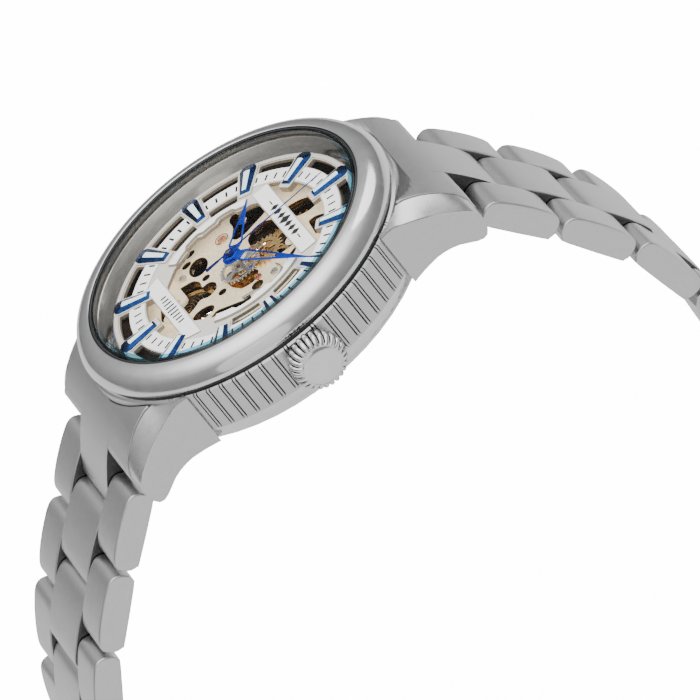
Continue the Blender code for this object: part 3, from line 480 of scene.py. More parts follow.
def metal(name, light, dark, roughness, stretch, relief=0.1):
    return surface(name, (dark, light), 1.0, roughness, stretch, relief)


def glass_finish(name, tint, facing, grazing, fade=0.0):
    """Clear glass that mirrors more towards grazing angles; the tints of the crystal's rim and edge are painted
    reflection and painted shade. Fade clears the tint behind x = 0, so that the painted reflection shows on the
    camera's side only.
    """
    made = bpy.data.materials.new(name)
    made.use_nodes = True
    tree = made.node_tree
    tree.nodes.clear()
    clear = add_node(tree, "ShaderNodeBsdfTransparent", Color=(*tint, 1.0))
    if fade:
        place = add_node(tree, "ShaderNodeTexCoord")
        split = add_node(tree, "ShaderNodeSeparateXYZ")
        share = add_node(tree, "ShaderNodeMapRange")
        set_inputs(share, From_Min=-fade, From_Max=fade)
        join(tree, place, "Object", split, "Vector")
        join(tree, split, "X", share, "Value")
        shade = blend_colors(tree, share.outputs["Result"], 0.99, tint)
        tree.links.new(shade, clear.inputs["Color"])
    mirror = add_node(tree, "ShaderNodeBsdfGlossy", Roughness=0.02)
    smears = grain(tree, 0.3, 3.0)
    tree.links.new(spread(tree, smears, 0.01, 0.04), mirror.inputs["Roughness"])
    edge = add_node(tree, "ShaderNodeLayerWeight", Blend=0.3)
    share = add_node(tree, "ShaderNodeMapRange")
    set_inputs(share, To_Min=facing, To_Max=grazing)
    mix = add_node(tree, "ShaderNodeMixShader")
    out = add_node(tree, "ShaderNodeOutputMaterial")
    join(tree, edge, "Facing", share, "Value")
    join(tree, share, "Result", mix, "Fac")
    join(tree, clear, "BSDF", mix, 1)
    join(tree, mirror, "BSDF", mix, 2)
    join(tree, mix, "Shader", out, "Surface")
    return made


POLISHED = metal("polished_steel", 0.8, (0.74, 0.74, 0.745), (0.1, 0.17), 0.6, 0.01)
SATIN = metal("satin_steel", (0.72, 0.72, 0.715), 0.64, (0.25, 0.31), (1.2, 0.6, 1.2), 0.01)
BRUSHED = metal("brushed_steel", (0.66, 0.66, 0.655), 0.56, (0.28, 0.38), (14.0, 0.5, 14.0), 0.14)
BAND = metal("band_steel", 0.64, 0.54, (0.26, 0.36), (10.0, 10.0, 0.5), 0.12)
# Painted shade: near-black steel for groove bottoms, flute valleys and the gaps between link rows.
SHADE_STEEL = metal("painted_shade_steel", 0.12, 0.07, (0.3, 0.4), (10.0, 10.0, 0.5), 0.12)
REHAUT = metal("rehaut_steel", (0.5, 0.48, 0.44), (0.42, 0.4, 0.365), (0.09, 0.13), (0.7, 0.7, 2.5), 0.006)
SEAT = metal("seat_steel", (0.3, 0.29, 0.27), (0.24, 0.23, 0.215), (0.45, 0.5), 2.0, 0.01)
WORKS = metal("works_steel", (0.74, 0.72, 0.68), (0.56, 0.54, 0.5), (0.22, 0.32), (3.0, 1.5, 3.0), 0.04)
# Painted shade: works steel darkened for deep parts seen through the dial's openings.
WORKS_SHADE = metal("works_painted_shade", (0.05, 0.03, 0.018), (0.02, 0.012, 0.008), (0.35, 0.5), 2.5, 0.08)
# Painted shade: near-black for the plates seen through the dial's slots.
UNDER_SHADE = surface("under_dial_shade", ((0.022, 0.016, 0.013), (0.034, 0.026, 0.022)), 0.0, (0.5, 0.65), 2.0, 0.05)
SPRING = metal("spring_steel", (0.22, 0.22, 0.25), (0.12, 0.12, 0.15), (0.2, 0.3), 6.0)
GOLD = metal("wheel_gold", (0.9, 0.64, 0.27), (0.74, 0.48, 0.17), (0.2, 0.3), 2.5, 0.04)
CHAMPAGNE = surface(
    "plate_champagne", ((0.78, 0.62, 0.38), (0.93, 0.81, 0.6)), 0.35, (0.34, 0.48), 2.0, 0.12,
)
# Painted light: the champagne plate glows, so that it reads brighter than the lamps light it.
glowing(CHAMPAGNE, 0.7)
# Painted shade: a darker gold for the plate's walls.
PLATE_WALL_SHADE = metal("plate_wall_shade", (0.4, 0.3, 0.17), (0.22, 0.15, 0.08), (0.16, 0.3), 5.0)
WHITE = surface(
    "dial_white", ((0.84, 0.835, 0.82), (0.9, 0.895, 0.885)), 0.0, (0.38, 0.48), 3.0, 0.05, 0.15,
)
# Painted light: the white lacquer glows a little.
glowing(WHITE, 1.25)
CREAM = surface("dial_cream", ((0.72, 0.69, 0.63), (0.8, 0.77, 0.71)), 0.0, (0.38, 0.48), 3.0, 0.08, 0.15)
# Painted light: the cream glows a little.
glowing(CREAM, 0.55)
# Painted shade: a darker cream for the walls of the dial's levels.
CREAM_WALL_SHADE = surface("dial_cream_wall_shade", ((0.4, 0.34, 0.26), (0.54, 0.47, 0.37)), 0.1, (0.35, 0.5), 3.0, 0.1)
BLUE = metal("hand_blue", (0.012, 0.1, 0.95), (0.008, 0.05, 0.75), (0.22, 0.3), 2.0, 0.03)
DEEP_BLUE = metal("deep_blue", (0.01, 0.02, 0.34), (0.006, 0.012, 0.22), (0.22, 0.3), 2.0, 0.03)
NAVY = metal("marker_navy", (0.012, 0.06, 0.22), (0.004, 0.016, 0.075), (0.16, 0.26), 1.2, 0.03)
LUME = surface("marker_lume", ((0.68, 0.86, 0.88), (0.8, 0.94, 0.94)), 0.0, (0.4, 0.55), 8.0, 0.15)
# Painted light: the lume glows a little.
glowing(LUME, 1.1)
INK = surface("dial_ink", ((0.004, 0.004, 0.005), (0.01, 0.01, 0.011)), 0.0, (0.45, 0.6), 6.0, 0.1)
RUBBER = surface(
    "black_gasket", ((0.006, 0.008, 0.01), (0.014, 0.018, 0.022)), 0.0, (0.3, 0.45), 5.0, 0.1, 0.4,
)
RUBY = surface("ruby", ((0.3, 0.01, 0.04), (0.52, 0.02, 0.09)), 0.0, (0.08, 0.14), 5.0, 0.03, 0.8)
COPPER = metal("copper_glow", (0.85, 0.42, 0.17), (0.62, 0.26, 0.09), (0.2, 0.34), 5.0, 0.1)
CRYSTAL = glass_finish("crystal_glass", (0.99, 0.992, 0.99), 0.0, 0.045)
# Painted reflection: a cyan tint on the crystal's outer ring, on the camera's side only.
CRYSTAL_RIM_REFLECTION = glass_finish("crystal_rim_reflection", (0.12, 0.42, 0.62), 0.02, 0.1, 0.006)
# Painted shade: a near-black tint on the crystal's bevel.
CRYSTAL_EDGE_SHADE = glass_finish("crystal_edge_shade", (0.02, 0.045, 0.05), 0.02, 0.12)
BACK_GLASS = glass_finish("back_glass", (0.95, 0.96, 0.95), 0.03, 0.4)


# Head


def build_bezel():
    dome = [(19.5, 2.86), (20.2, 2.74), (21.0, 2.4), (21.7, 1.8), (22.15, 1.05), (22.38, 0.4), (22.3, 0.0)]
    profile = [(19.33, 2.55), (19.36, 2.78)] + curve_through(dome, 6)
    profile += [(22.12, -0.2), (21.85, -0.34), (21.6, -0.4), (19.33, -0.4)]
    lathe_piece("polished_bezel", profile, 240, [POLISHED], stands_for=["bezel"], sharp=40.0)
    seal = [(21.95, -0.36), (21.9, -0.62), (21.1, -0.5), (21.1, -0.36)]
    lathe_piece("bezel_seal", seal, 144, [RUBBER])


def flute_angles():
    """Angles with extra rows at each groove, and the share of the groove's depth at each."""
    rows = {}
    pattern = (
        (0.0, 0.0), (0.12, 1.0), (0.42, 1.0), (0.55, 0.0), (1.15, 0.0), (1.27, 1.0), (1.5, 1.0),
        (1.62, 0.0),
    )
    count = int((FLUTE_LAST - FLUTE_FIRST) / FLUTE_STEP)
    for middle in (0.0, 180.0):
        for side in (1.0, -1.0):
            for index in range(count + 1):
                start = FLUTE_FIRST + index * FLUTE_STEP
                for shift, depth in pattern:
                    rows[round((middle + side * (start + shift)) % 360.0, 3)] = depth
    for step in range(144):
        degrees = 2.5 * step
        clear = min(abs((degrees - known + 180.0) % 360.0 - 180.0) for known in rows)
        if clear > 0.7:
            rows[degrees] = 0.0
    angles = sorted(rows)
    return angles, rows


def build_case_band():
    angles, depths = flute_angles()
    deep = FLUTE_DEPTH
    profile = [
        (21.0, -0.5, 0.0), (21.6, -0.64, 0.0), (22.24, -0.66, 0.0), (CASE_RADIUS, -0.88, deep),
        (CASE_RADIUS, -6.25, deep), (22.5, -6.5, 0.0), (22.42, -6.95, 0.0), (22.1, -7.9, 0.0),
        (21.9, -8.2, 0.0), (21.5, -8.2, 0.0), (CASE_BORE, -8.2, 0.0), (CASE_BORE, -0.45, 0.0),
    ]
    shape = bmesh.new()
    lathe(shape, profile, angles, depths.get)
    band_rows = len(angles)
    for index, face in enumerate(shape.faces):
        row = index // band_rows
        face.material_index = 1 if row in (0, 1, 5, 6, 7) else 0
        near = depths[angles[index % band_rows]]
        far = depths[angles[(index + 1) % band_rows]]
        # Faces at the bottom of each groove take painted shade.
        if row == 3 and near == far == 1.0:
            face.material_index = 2
    dial_piece(
        "fluted_case_band", shape, [BAND, POLISHED, SHADE_STEEL], stands_for=["case_middle"], sharp=24.0
    )


def level_at(points, along):
    """The height of a row of (distance, height) points at one distance."""
    for (near, low), (far, high) in zip(points, points[1:]):
        if along <= far:
            return low + (high - low) * (along - near) / (far - near)
    return points[-1][1]


LUG_INNER_TOP = (
    (15.0, -0.75), (18.6, -1.2), (20.3, -1.45), (22.4, -2.55), (24.3, -4.05), (25.6, -5.7),
    (26.2, -7.2),
)
LUG_RIDGE = (
    (15.0, -0.7), (16.7, -0.95), (18.6, -2.1), (20.5, -3.2), (22.5, -4.4), (24.8, -6.1), (25.8, -7.2),
    (26.2, -8.2),
)
LUG_RIDGE_X = (
    (15.0, 17.0), (16.7, 16.2), (18.6, 15.6), (20.5, 15.2), (22.5, 15.0), (25.0, 15.0), (26.2, 14.75),
)
LUG_UNDER = (
    (15.0, -8.5), (17.0, -8.6), (19.4, -8.75), (21.6, -9.4), (23.4, -10.5), (24.4, -11.1),
    (25.3, -11.15), (26.0, -10.3), (26.2, -9.4),
)
LUG_STATIONS = (15.0, 16.0, 17.0, 18.0, 19.0, 20.0, 21.0, 22.0, 23.0, 24.0, 24.8, 25.4, 25.8, 26.05, 26.2)


def lug_section(along):
    """The lug across the chain: a sloping top facet, a small edge, an upright flank, a base."""
    top, under = level_at(LUG_INNER_TOP, along), level_at(LUG_UNDER, along)
    ridge, ridge_x = level_at(LUG_RIDGE, along), level_at(LUG_RIDGE_X, along)
    inner = LUG_INNER
    middle = (inner + ridge_x) / 2.0
    arch = (top + ridge) / 2.0 + 0.18
    return [
        (inner, top - 0.08), (inner + 0.07, top), (middle, arch), (ridge_x - 0.1, ridge + 0.08),
        (ridge_x, ridge - 0.04), (ridge_x + 0.02, ridge - 0.2), (ridge_x + 0.02, under + 0.25),
        (ridge_x - 0.2, under), (inner + 0.1, under), (inner, under + 0.1),
    ]


def build_lugs():
    for label, side in (("upper", 1.0), ("lower", -1.0)):
        for hand, mirror in (("crown_side", 1.0), ("far_side", -1.0)):
            shape = bmesh.new()
            rows = []
            for along in LUG_STATIONS:
                section = lug_section(along)
                rows.append([shape.verts.new((mirror * x, side * along, z)) for x, z in section])
            count = len(rows[0])
            for first, second in zip(rows, rows[1:]):
                for near in range(count):
                    far = (near + 1) % count
                    face = shape.faces.new((first[near], first[far], second[far], second[near]))
                    face.material_index = 1 if near in (1, 2, 3, 4) else 0
            shape.faces.new(rows[0])
            shape.faces.new(rows[-1][::-1])
            dial_piece("lug_" + label + "_" + hand, shape, [BRUSHED, SATIN])
        y, z = (side * 23.6, -9.0)
        shape = bmesh.new()
        slab(shape, [circle(0.75, 24)], -12.6, 12.6, 0.15)
        across(shape)
        bmesh.ops.translate(shape, vec=(0.0, y, z), verts=shape.verts)
        dial_piece("spring_bar_" + label, shape, [WORKS])


def build_crystal():
    profile = [
        (0.0, 2.86), (18.05, 2.86), (18.6, 2.86), (18.86, 2.72), (18.93, 2.6), (18.93, 1.75),
        (0.0, 1.75),
    ]
    shape = bmesh.new()
    lathe(shape, profile, even_angles(180), closed=False)
    for face in shape.faces:
        middle = face.calc_center_median()
        reach = math.hypot(middle.x, middle.y)
        # The outer ring of the crystal's top takes a painted reflection, the bevel painted shade.
        if middle.z > 2.3 and reach > 18.0:
            face.material_index = 1 if reach < 18.6 else 2
    finishes = [CRYSTAL, CRYSTAL_RIM_REFLECTION, CRYSTAL_EDGE_SHADE]
    dial_piece("flat_crystal", shape, finishes, stands_for=["crystal"], sharp=30.0)
    inner, outer = GASKET_RADII
    profile = [
        (outer, 2.62), (outer, 2.3), (inner, 2.3), (inner, 2.7), (inner + 0.1, 2.78),
        (outer - 0.06, 2.74),
    ]
    lathe_piece("crystal_seal", profile, 180, [RUBBER], stands_for=["crystal_gasket"], sharp=60.0)
    profile = [(outer, 2.28), (outer, 1.7), (inner, 1.7), (inner, 2.28)]
    lathe_piece("crystal_seat", profile, 180, [SEAT], sharp=60.0)


def build_rehaut():
    slope = curve_through([(17.45, 0.06), (17.62, 0.3), (18.1, 0.95), (18.75, 1.68)], 4)
    profile = slope + [(19.2, 1.68), (19.2, 0.05), (17.45, 0.05)]
    lathe_piece("sloped_rehaut", profile, 180, [REHAUT], stands_for=["rehaut_ring"], sharp=50.0)


def build_crown():
    """Fluted skirt that rolls over into a smooth domed cap."""
    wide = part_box("crown")[1].y / MM
    profile = [
        (0.0, 24.6), (1.2, 24.6), (1.2, 23.3), (wide - 0.9, 23.3, 0.1), (wide - 0.4, 23.42, 0.3),
        (wide - 0.1, 23.75, 0.42), (wide, 24.2, 0.46), (wide, 24.9, 0.46), (wide - 0.08, 25.35, 0.45),
        (wide - 0.28, 25.8, 0.42), (wide - 0.6, 26.15, 0.34), (wide - 0.95, 26.38, 0.2),
        (wide - 1.16, 26.46), (wide - 1.2, 26.42), (wide - 1.3, 26.5), (wide - 1.8, 26.6), (1.0, 26.66),
        (0.5, 26.69), (0.0, 26.7),
    ]
    angles = even_angles(CROWN_FLUTES * FLUTE_ROWS)

    def flute(degrees):
        phase = (degrees * CROWN_FLUTES / 360.0) % 1.0
        return (1.0 - math.sin(math.pi * phase)) ** 1.6

    shape = bmesh.new()
    lathe(shape, profile, angles, flute, closed=False)
    for face in shape.faces:
        middle = face.calc_center_median()
        phase = (math.degrees(math.atan2(middle.y, middle.x)) * CROWN_FLUTES / 360.0) % 1.0
        on_flute = middle.z < 26.3 and math.hypot(middle.x, middle.y) > wide - 0.95
        # Faces in the crown's flute valleys take painted shade.
        face.material_index = 1 if on_flute and min(phase, 1.0 - phase) < 0.13 else 0
    turn = Matrix.Translation((0.0, 0.0, STEM_HEIGHT)) @ Matrix.Rotation(math.pi / 2.0, 4, "Y")
    bmesh.ops.transform(shape, matrix=turn, verts=shape.verts)
    dial_piece("fluted_crown", shape, [POLISHED, SHADE_STEEL], "crown_and_stem", ["crown"], sharp=80.0)
    shape = bmesh.new()
    tube = [(1.35, 22.9), (1.35, 19.0), (0.75, 19.0), (0.75, 22.9)]
    lathe(shape, tube, even_angles(48))
    bmesh.ops.transform(shape, matrix=turn, verts=shape.verts)
    dial_piece("crown_tube", shape, [WORKS])


# Dial


def central_opening():
    """The dial's middle opening: round sides, stepped at each marker pad, straight at the bars."""
    made = []
    for step in range(-32, 33, 2):
        degrees = float(step)
        notch = 0.55 if 8.0 < abs(degrees) < 24.0 else 0.0
        made.append(polar(OPENING_RADIUS + notch, degrees))
    right = [(x, y) for x, y in made if y > -8.2]
    corner_top = (7.15, 6.55)
    corner_low = (5.1, -8.45)
    right = [corner_low, (7.4, -6.3)] + right + [(7.9, 5.7), corner_top]
    left = [(-x, y) for x, y in reversed(right)]
    return rounded(right + left, 0.28, 3)


def beyond_bar(edge, radius, notch):
    """The dial's opening between a crossbar and the minute track, with the pad's foot in it."""
    sign = math.copysign(1.0, edge)
    reach = math.degrees(math.acos(abs(edge) / radius))
    foot = math.degrees(math.asin(notch / radius))
    up = 90.0 * sign
    right = arc(radius, up - reach * sign, up - foot * sign, 8)
    left = arc(radius, up + foot * sign, up + reach * sign, 8)
    inner = radius - 1.15
    middle = [(notch, sign * inner), (-notch, sign * inner)]
    return rounded(right + middle + left, 0.22, 3)


def dial_holes():
    windows = []
    for hour in range(12):
        middle = 15.0 + 30.0 * hour
        windows.append(rounded(sector(*WINDOW_RADII, middle - 9.3, middle + 9.3, 8), 0.2, 3))
    slots = []
    for middle in (-15.0, 15.0, 165.0, 195.0):
        slots.append(rounded(sector(*SLOT_RADII, middle - 9.5, middle + 9.5, 6), 0.2, 3))
    bars = [beyond_bar(9.07, 12.8, 1.25), beyond_bar(-10.8, 12.8, 1.25)]
    return windows + slots + bars


def build_dial():
    # The walls of the dial's plates take painted shade.
    slab_piece(
        "openworked_dial",
        [([circle(DIAL_EDGE, 144), central_opening(), *dial_holes()], -0.55, -0.06, 0.05, 1, 1)],
        [CREAM, CREAM_WALL_SHADE], stands_for=["dial"], sharp=30.0,
    )
    slab_piece("minute_track", [(ring(*TRACK_RADII), -0.1, 0.0, 0.03, 1, 1)], [WHITE, CREAM_WALL_SHADE])
    slab_piece("outer_dial_ring", [(ring(16.8, 17.4), -0.1, 0.04, 0.03, 1, 1)], [CREAM, CREAM_WALL_SHADE])
    for label, low, high, reach in (("upper", 6.65, 8.95, 9.0), ("lower", -10.7, -8.6, 7.3)):
        wide = reach if label == "upper" else 8.2
        outline = [(-reach, low), (reach, low), (wide, high), (-wide, high)]
        plates = [([rounded(outline, 0.2, 2)], -0.1, 0.08, 0.04, 1, 1)]
        slab_piece("dial_bar_" + label, plates, [WHITE, CREAM_WALL_SHADE])
    for label, start, end in (("right", -38.0, 33.0), ("left", 147.0, 218.0)):
        rim = arc(11.0, start, end, 24)
        inner = []
        for step in range(25):
            degrees = end + (start - end) * step / 24
            from_pad = abs((degrees + 15.0) % 30.0 - 15.0)
            inner.append(polar(10.05 if from_pad > 8.0 else 9.55, degrees))
        plates = [([rounded(rim + inner, 0.15, 2)], -0.7, 0.22, 0.14, 1, 1)]
        slab_piece("inner_ring_" + label, plates, [WHITE, CREAM_WALL_SHADE])


def build_under_dial():
    """Plates in painted shade that close the dial's slots from below, so that the openings read dark."""
    plates = [(ring(13.2, 17.0, 96), -0.95, -0.85, 0.02)]
    for middle in (0.0, 180.0):
        outline = sector(11.25, 13.1, middle - 40.0, middle + 40.0, 24)
        plates.append(([outline], -0.95, -0.85, 0.02))
    slab_piece("under_dial_plates", plates, [UNDER_SHADE])


def build_ticks():
    inner, outer = TICK_RADII
    plates = []
    for minute in range(60):
        if minute % 5 == 0:
            continue
        line = [(inner, -TICK_HALF), (outer, -TICK_HALF), (outer, TICK_HALF), (inner, TICK_HALF)]
        plates.append(([turned_outline(line, 6.0 * minute)], -0.02, 0.02, PRINT_EDGE))
    slab_piece("minute_ticks", plates, [INK])


def box_outline(x, y, half, tall):
    return [(x - half, y - tall), (x + half, y - tall), (x + half, y + tall), (x - half, y + tall)]


def build_ornaments():
    """Plain diamonds and bars in place of lettering."""
    outlines = []
    for index in range(-3, 4):
        x = 0.35 + index * 1.25
        half = 0.7 if index == 0 else 0.5
        tall = 0.95 if index == 0 else 0.7
        outlines.append([(x - half, 7.8), (x, 7.8 - tall), (x + half, 7.8), (x, 7.8 + tall)])
    outlines += [box_outline(0.35 + side * 5.1, 7.8, 0.55, 0.08) for side in (-1.0, 1.0)]
    for index in range(-4, 5):
        outlines.append(box_outline(index * 0.85, -9.65, 0.15, 0.7 - 0.07 * abs(index)))
    plates = [([outline], 0.06, 0.1, PRINT_EDGE) for outline in outlines]
    slab_piece("bar_ornaments", plates, [INK])


def marker_outline(inner, outer, narrow, wide, nose):
    side = [(inner, narrow), (outer - nose, wide), (outer - nose * 0.3, wide * 0.82), (outer, wide * 0.4)]
    return [(x, -y) for x, y in side] + side[::-1]


def build_markers():
    for hour in range(12):
        degrees = 90.0 - 30.0 * hour
        pad = rounded(marker_outline(*PAD_RADII, 0.95, 1.5, 0.7), 0.25, 3)
        plates = [([turned_outline(pad, degrees)], -0.8, 0.06, 0.05, 1, 1)]
        label = str(hour if hour else 12)
        # The pad's walls take painted shade.
        slab_piece("marker_pad_" + label, plates, [CREAM, CREAM_WALL_SHADE])
        body = marker_outline(*MARKER_RADII, 0.68, 1.2, 0.8)
        strip = [(MARKER_RADII[0] + 0.3, -0.3), (16.2, -0.45), (16.2, 0.45), (MARKER_RADII[0] + 0.3, 0.3)]
        shape = bmesh.new()
        facet_marker(shape, body, strip, 0.05, 0.38)
        spin = Matrix.Rotation(math.radians(degrees), 4, "Z")
        bmesh.ops.transform(shape, matrix=spin, verts=shape.verts)
        dial_piece("hour_marker_" + label, shape, [NAVY, LUME], sharp=15.0)


def facet_marker(shape, body, strip, low, high):
    """A marker whose sloping sides run up from its outline to a raised strip."""
    base = [shape.verts.new((x, y, low)) for x, y in body]
    knee = [shape.verts.new((x, y, low + 0.12)) for x, y in body]
    crest = [strip[0], strip[1], (strip[1][0] + 0.06, -0.3), (strip[1][0] + 0.1, -0.12)]
    crest += [(strip[2][0] + 0.1, 0.12), (strip[2][0] + 0.06, 0.3), strip[2], strip[3]]
    top = [shape.verts.new((x, y, high)) for x, y in crest]
    count = len(body)
    for under, over in ((base, knee), (knee, top)):
        for near in range(count):
            far = (near + 1) % count
            shape.faces.new((under[near], under[far], over[far], over[near]))
    shape.faces.new(base[::-1])
    lid = shape.faces.new(top)
    made = bmesh.ops.inset_region(shape, faces=[lid], thickness=0.04, depth=0.0)
    lid.material_index = 1
    for face in made["faces"]:
        face.material_index = 0


# Hands


def lance(length, half_width, shoulder, hub):
    """An open hand's outline and the slot down its middle, along +Y."""
    solid = length * 0.58
    right = [(0.45, 0.0), (0.62, hub * 0.8), (half_width, shoulder), (0.04, length)]
    left = [(-x, y) for x, y in reversed(right)]
    inner = half_width - 0.27
    narrow = half_width * (length - solid) / (length - shoulder) - 0.22
    slot = [
        (-inner + 0.1, shoulder - 0.2), (inner - 0.1, shoulder - 0.2), (inner, shoulder + 0.25),
        (narrow, solid), (-narrow, solid), (-inner, shoulder + 0.25),
    ]
    return right + left, rounded(slot, 0.1, 3)


def clockwise_spin(shape, degrees):
    spin = Matrix.Rotation(-math.radians(degrees), 4, "Z")
    bmesh.ops.transform(shape, matrix=spin, verts=shape.verts)


def build_hands():
    for name, length, degrees, half_width, shoulder, low, high, hub, bore, body in (
        ("hour", 10.0, 305.0, 1.02, 2.3, 0.44, 0.6, 1.3, 0.86, "hours"),
        ("minute", 14.3, 60.0, 0.95, 2.4, 0.84, 1.0, 1.05, 0.5, "minutes"),
    ):
        outline, slot = lance(length, half_width, shoulder, hub)
        shape = bmesh.new()
        slab(shape, [outline, slot], low, high, 0.06, 2)
        ridge_tip(shape, shoulder, length, high)
        clockwise_spin(shape, degrees)
        slab(shape, ring(bore, hub, 48), low - 0.01, high + 0.06, 0.05, 2)
        dial_piece(name + "_lance", shape, [BLUE], body, [name + "_hand"], sharp=24.0)
    shape = bmesh.new()
    outline = [(0.17, -3.3), (0.13, 0.0), (0.035, 14.8), (-0.035, 14.8), (-0.13, 0.0), (-0.17, -3.3)]
    slab(shape, [outline], 1.26, 1.38, 0.03)
    tail = rounded([(-0.3, -3.6), (0.3, -3.6), (0.2, -1.6), (-0.2, -1.6)], 0.15, 3)
    slab(shape, [tail], 1.25, 1.39, 0.03)
    clockwise_spin(shape, 357.0)
    slab(shape, [circle(0.55, 40), circle(0.2, 24)], 1.22, 1.44, 0.05, 2)
    dial_piece("seconds_needle", shape, [DEEP_BLUE], "seconds", ["seconds_hand"], sharp=24.0)
    shape = bmesh.new()
    post = [(0.0, 1.58), (0.2, 1.57), (0.4, 1.52), (0.42, 1.46), (0.18, 1.45), (0.18, 1.2), (0.0, 1.2)]
    lathe(shape, post, even_angles(24), closed=False)
    dial_piece("seconds_post", shape, [SPRING], "seconds")


def ridge_tip(shape, shoulder, length, high):
    """Raises the middle of the solid tip a little, so that it catches light on two sides."""
    for vert in shape.verts:
        if vert.co.y > shoulder and vert.co.z > high - 0.01:
            share = (vert.co.y - shoulder) / (length - shoulder)
            vert.co.z += 0.05 * math.sin(math.pi * min(1.0, share))


# Movement


def joint_centre(name):
    x, y, _ = JOINTS[name]["pos_m"]
    return (x / MM, y / MM)


def heading(first, second):
    return math.degrees(math.atan2(second[1] - first[1], second[0] - first[0]))


def distance(first, second):
    return math.hypot(second[0] - first[0], second[1] - first[1])


MIDDLE = (0.0, 0.0)
BARREL = joint_centre("barrel_turn")
THIRD = joint_centre("third_turn")
MOTION = joint_centre("motion_wheel_turn")
BALANCE = joint_centre("balance_swing")


# Cut-outs of the plate
CAVITY_LEFT = (
    (-11.0, 2.5), (-9.2, 2.5), (-7.3, 1.4), (-6.4, 1.8), (-6.3, 3.1), (
        -6.9, 5.0,
    ), (-7.4, 6.8), (-9.4, 7.8), (-11.4, 5.8), (-12.0, 3.7)
)
CAVITY_ABOVE = (
    (-4.7, 2.8), (-5.8, 4.0), (-5.9, 5.4), (-4.7, 6.8), (-2.1, 8.0), (0.3, 8.0), (2.6, 7.6), (2.9, 6.2),
    (2.7, 4.6), (1.9, 3.0), (0.6, 2.0), (-1.4, 2.6), (-3.2, 2.6),
)
CAVITY_BELOW = (
    (-6.1, -8.1), (-5.4, -5.6), (-4.1, -5.0), (-2.6, -5.3), (-2.8, -4.2), (-1.7, -3.5), (-0.4, -3.9),
    (0.0, -5.1), (-0.9, -6.3), (-0.1, -7.5), (0.3, -9.3), (-2.4, -11.6), (-5.2, -10.6),
)
SLOT_RIGHT = ((5.6, 4.2), (4.0, 5.9), (3.6, 7.6), (4.6, 7.9), (5.2, 6.7), (6.5, 4.9))
SLOT_BELOW = (
    (4.4, -7.2), (3.7, -5.6), (4.8, -3.9), (6.0, -2.1), (5.9, -1.3), (7.2, -1.6), (7.6, -3.4),
    (6.6, -5.3), (5.4, -7.0),
)
COIL_BAY = (
    (-1.4, -1.9), (-1.3, -0.9), (0.9, -0.8), (1.1, 0.9), (2.7, 1.4), (3.9, 0.1), (3.4, -1.5),
    (1.6, -2.3), (0.0, -2.4),
)
PINION_WINDOW = ((12.05, -1.6), (13.45, -1.6), (13.45, 1.6), (12.05, 1.6))


def build_plate():
    outlines = [
        circle(15.2, 96),
        circle(0.6, 20),
        circle(0.85, 24, BARREL),
        oval(1.75, 1.3, (-7.1, -3.95), -15.0),
        oval(0.48, 0.48, (-4.0, -4.05)),
        oval(0.45, 0.7, (-10.8, -3.8), 10.0),
        oval(0.45, 0.6, (-9.2, -4.95), 10.0),
        oval(0.5, 0.5, (1.1, -3.6)),
        oval(1.0, 1.5, (2.2, -7.0), -15.0),
        oval(0.75, 0.75, (5.05, 0.2)),
        rounded(CAVITY_BELOW, 0.5, 4),
        rounded(CAVITY_LEFT, 0.6, 4),
        rounded(CAVITY_ABOVE, 0.5, 4),
        rounded(SLOT_RIGHT, 0.4, 4),
        rounded(SLOT_BELOW, 0.35, 3),
        rounded(COIL_BAY, 0.45, 3),
        PINION_WINDOW,
        rounded(sector(10.2, 12.2, -62.0, -42.0, 8), 0.5, 4),
        rounded([(-4.9, 9.0), (-1.6, 9.2), (-0.9, 10.7), (-1.1, 13.0), (-2.6, 12.8), (-4.3, 10.7)], 0.5, 4),
        rounded([(1.0, 9.9), (1.1, 10.9), (2.3, 12.2), (4.2, 11.6), (4.6, 9.6)], 0.4, 4),
    ]
    # The plate's walls take painted shade, and its top a painted glow.
    slab_piece(
        "skeleton_plate", [(outlines, -2.8, -1.82, 0.09, 2, 1)], [CHAMPAGNE, PLATE_WALL_SHADE],
        stands_for=["main_plate"], sharp=30.0,
    )


def add_jewel(name, at, top, size=0.5, clip=True):
    plates = [(ring(size, size * 1.45, 32, at), top - 0.1, top + 0.1, 0.05, 2)]
    slab_piece(name + "_setting", plates, [GOLD])
    shape = bmesh.new()
    profile = [
        (0.0, top - 0.02), (0.12, top - 0.02), (0.2, top + 0.05), (size - 0.08, top + 0.06),
        (size - 0.01, top), (size - 0.01, top - 0.2), (0.0, top - 0.2),
    ]
    lathe(shape, profile, even_angles(30), closed=False)
    bmesh.ops.translate(shape, vec=(*at, 0.0), verts=shape.verts)
    dial_piece(name + "_jewel", shape, [RUBY])
    if clip:
        loop = arc(size * 1.9, 25.0, 335.0, 24, at)
        back = arc(size * 1.9 - 0.12, 335.0, 25.0, 24, at)
        plates = [([loop + back], top + 0.06, top + 0.16, 0.03)]
        slab_piece(name + "_clip", plates, [SPRING])


def add_screw(name, at, top, size, turn):
    """A slotted screw head: two halves of a disc on a shank."""
    plates = []
    half_slot = 0.16 * size / 0.5 / 2.0
    bend = math.degrees(math.asin(half_slot / size))
    for flip in (0.0, 180.0):
        points = arc(size, bend, 180.0 - bend, 14)
        plates.append(([turned_outline(points, turn + flip, at)], top - 0.12, top, 0.04, 2))
    plates.append(([circle(size * 0.96, 28, at)], top - 0.3, top - 0.1, 0.02))
    slab_piece(name, plates, [WORKS])


def add_wheel(node, outlines, low, high, finish, body, extras):
    plates = [(outlines, low, high, 0.03)] + [(*extra, 0.03) for extra in extras]
    slab_piece("gilt_" + node, plates, [finish], body, [node], slot="wheel_gold")


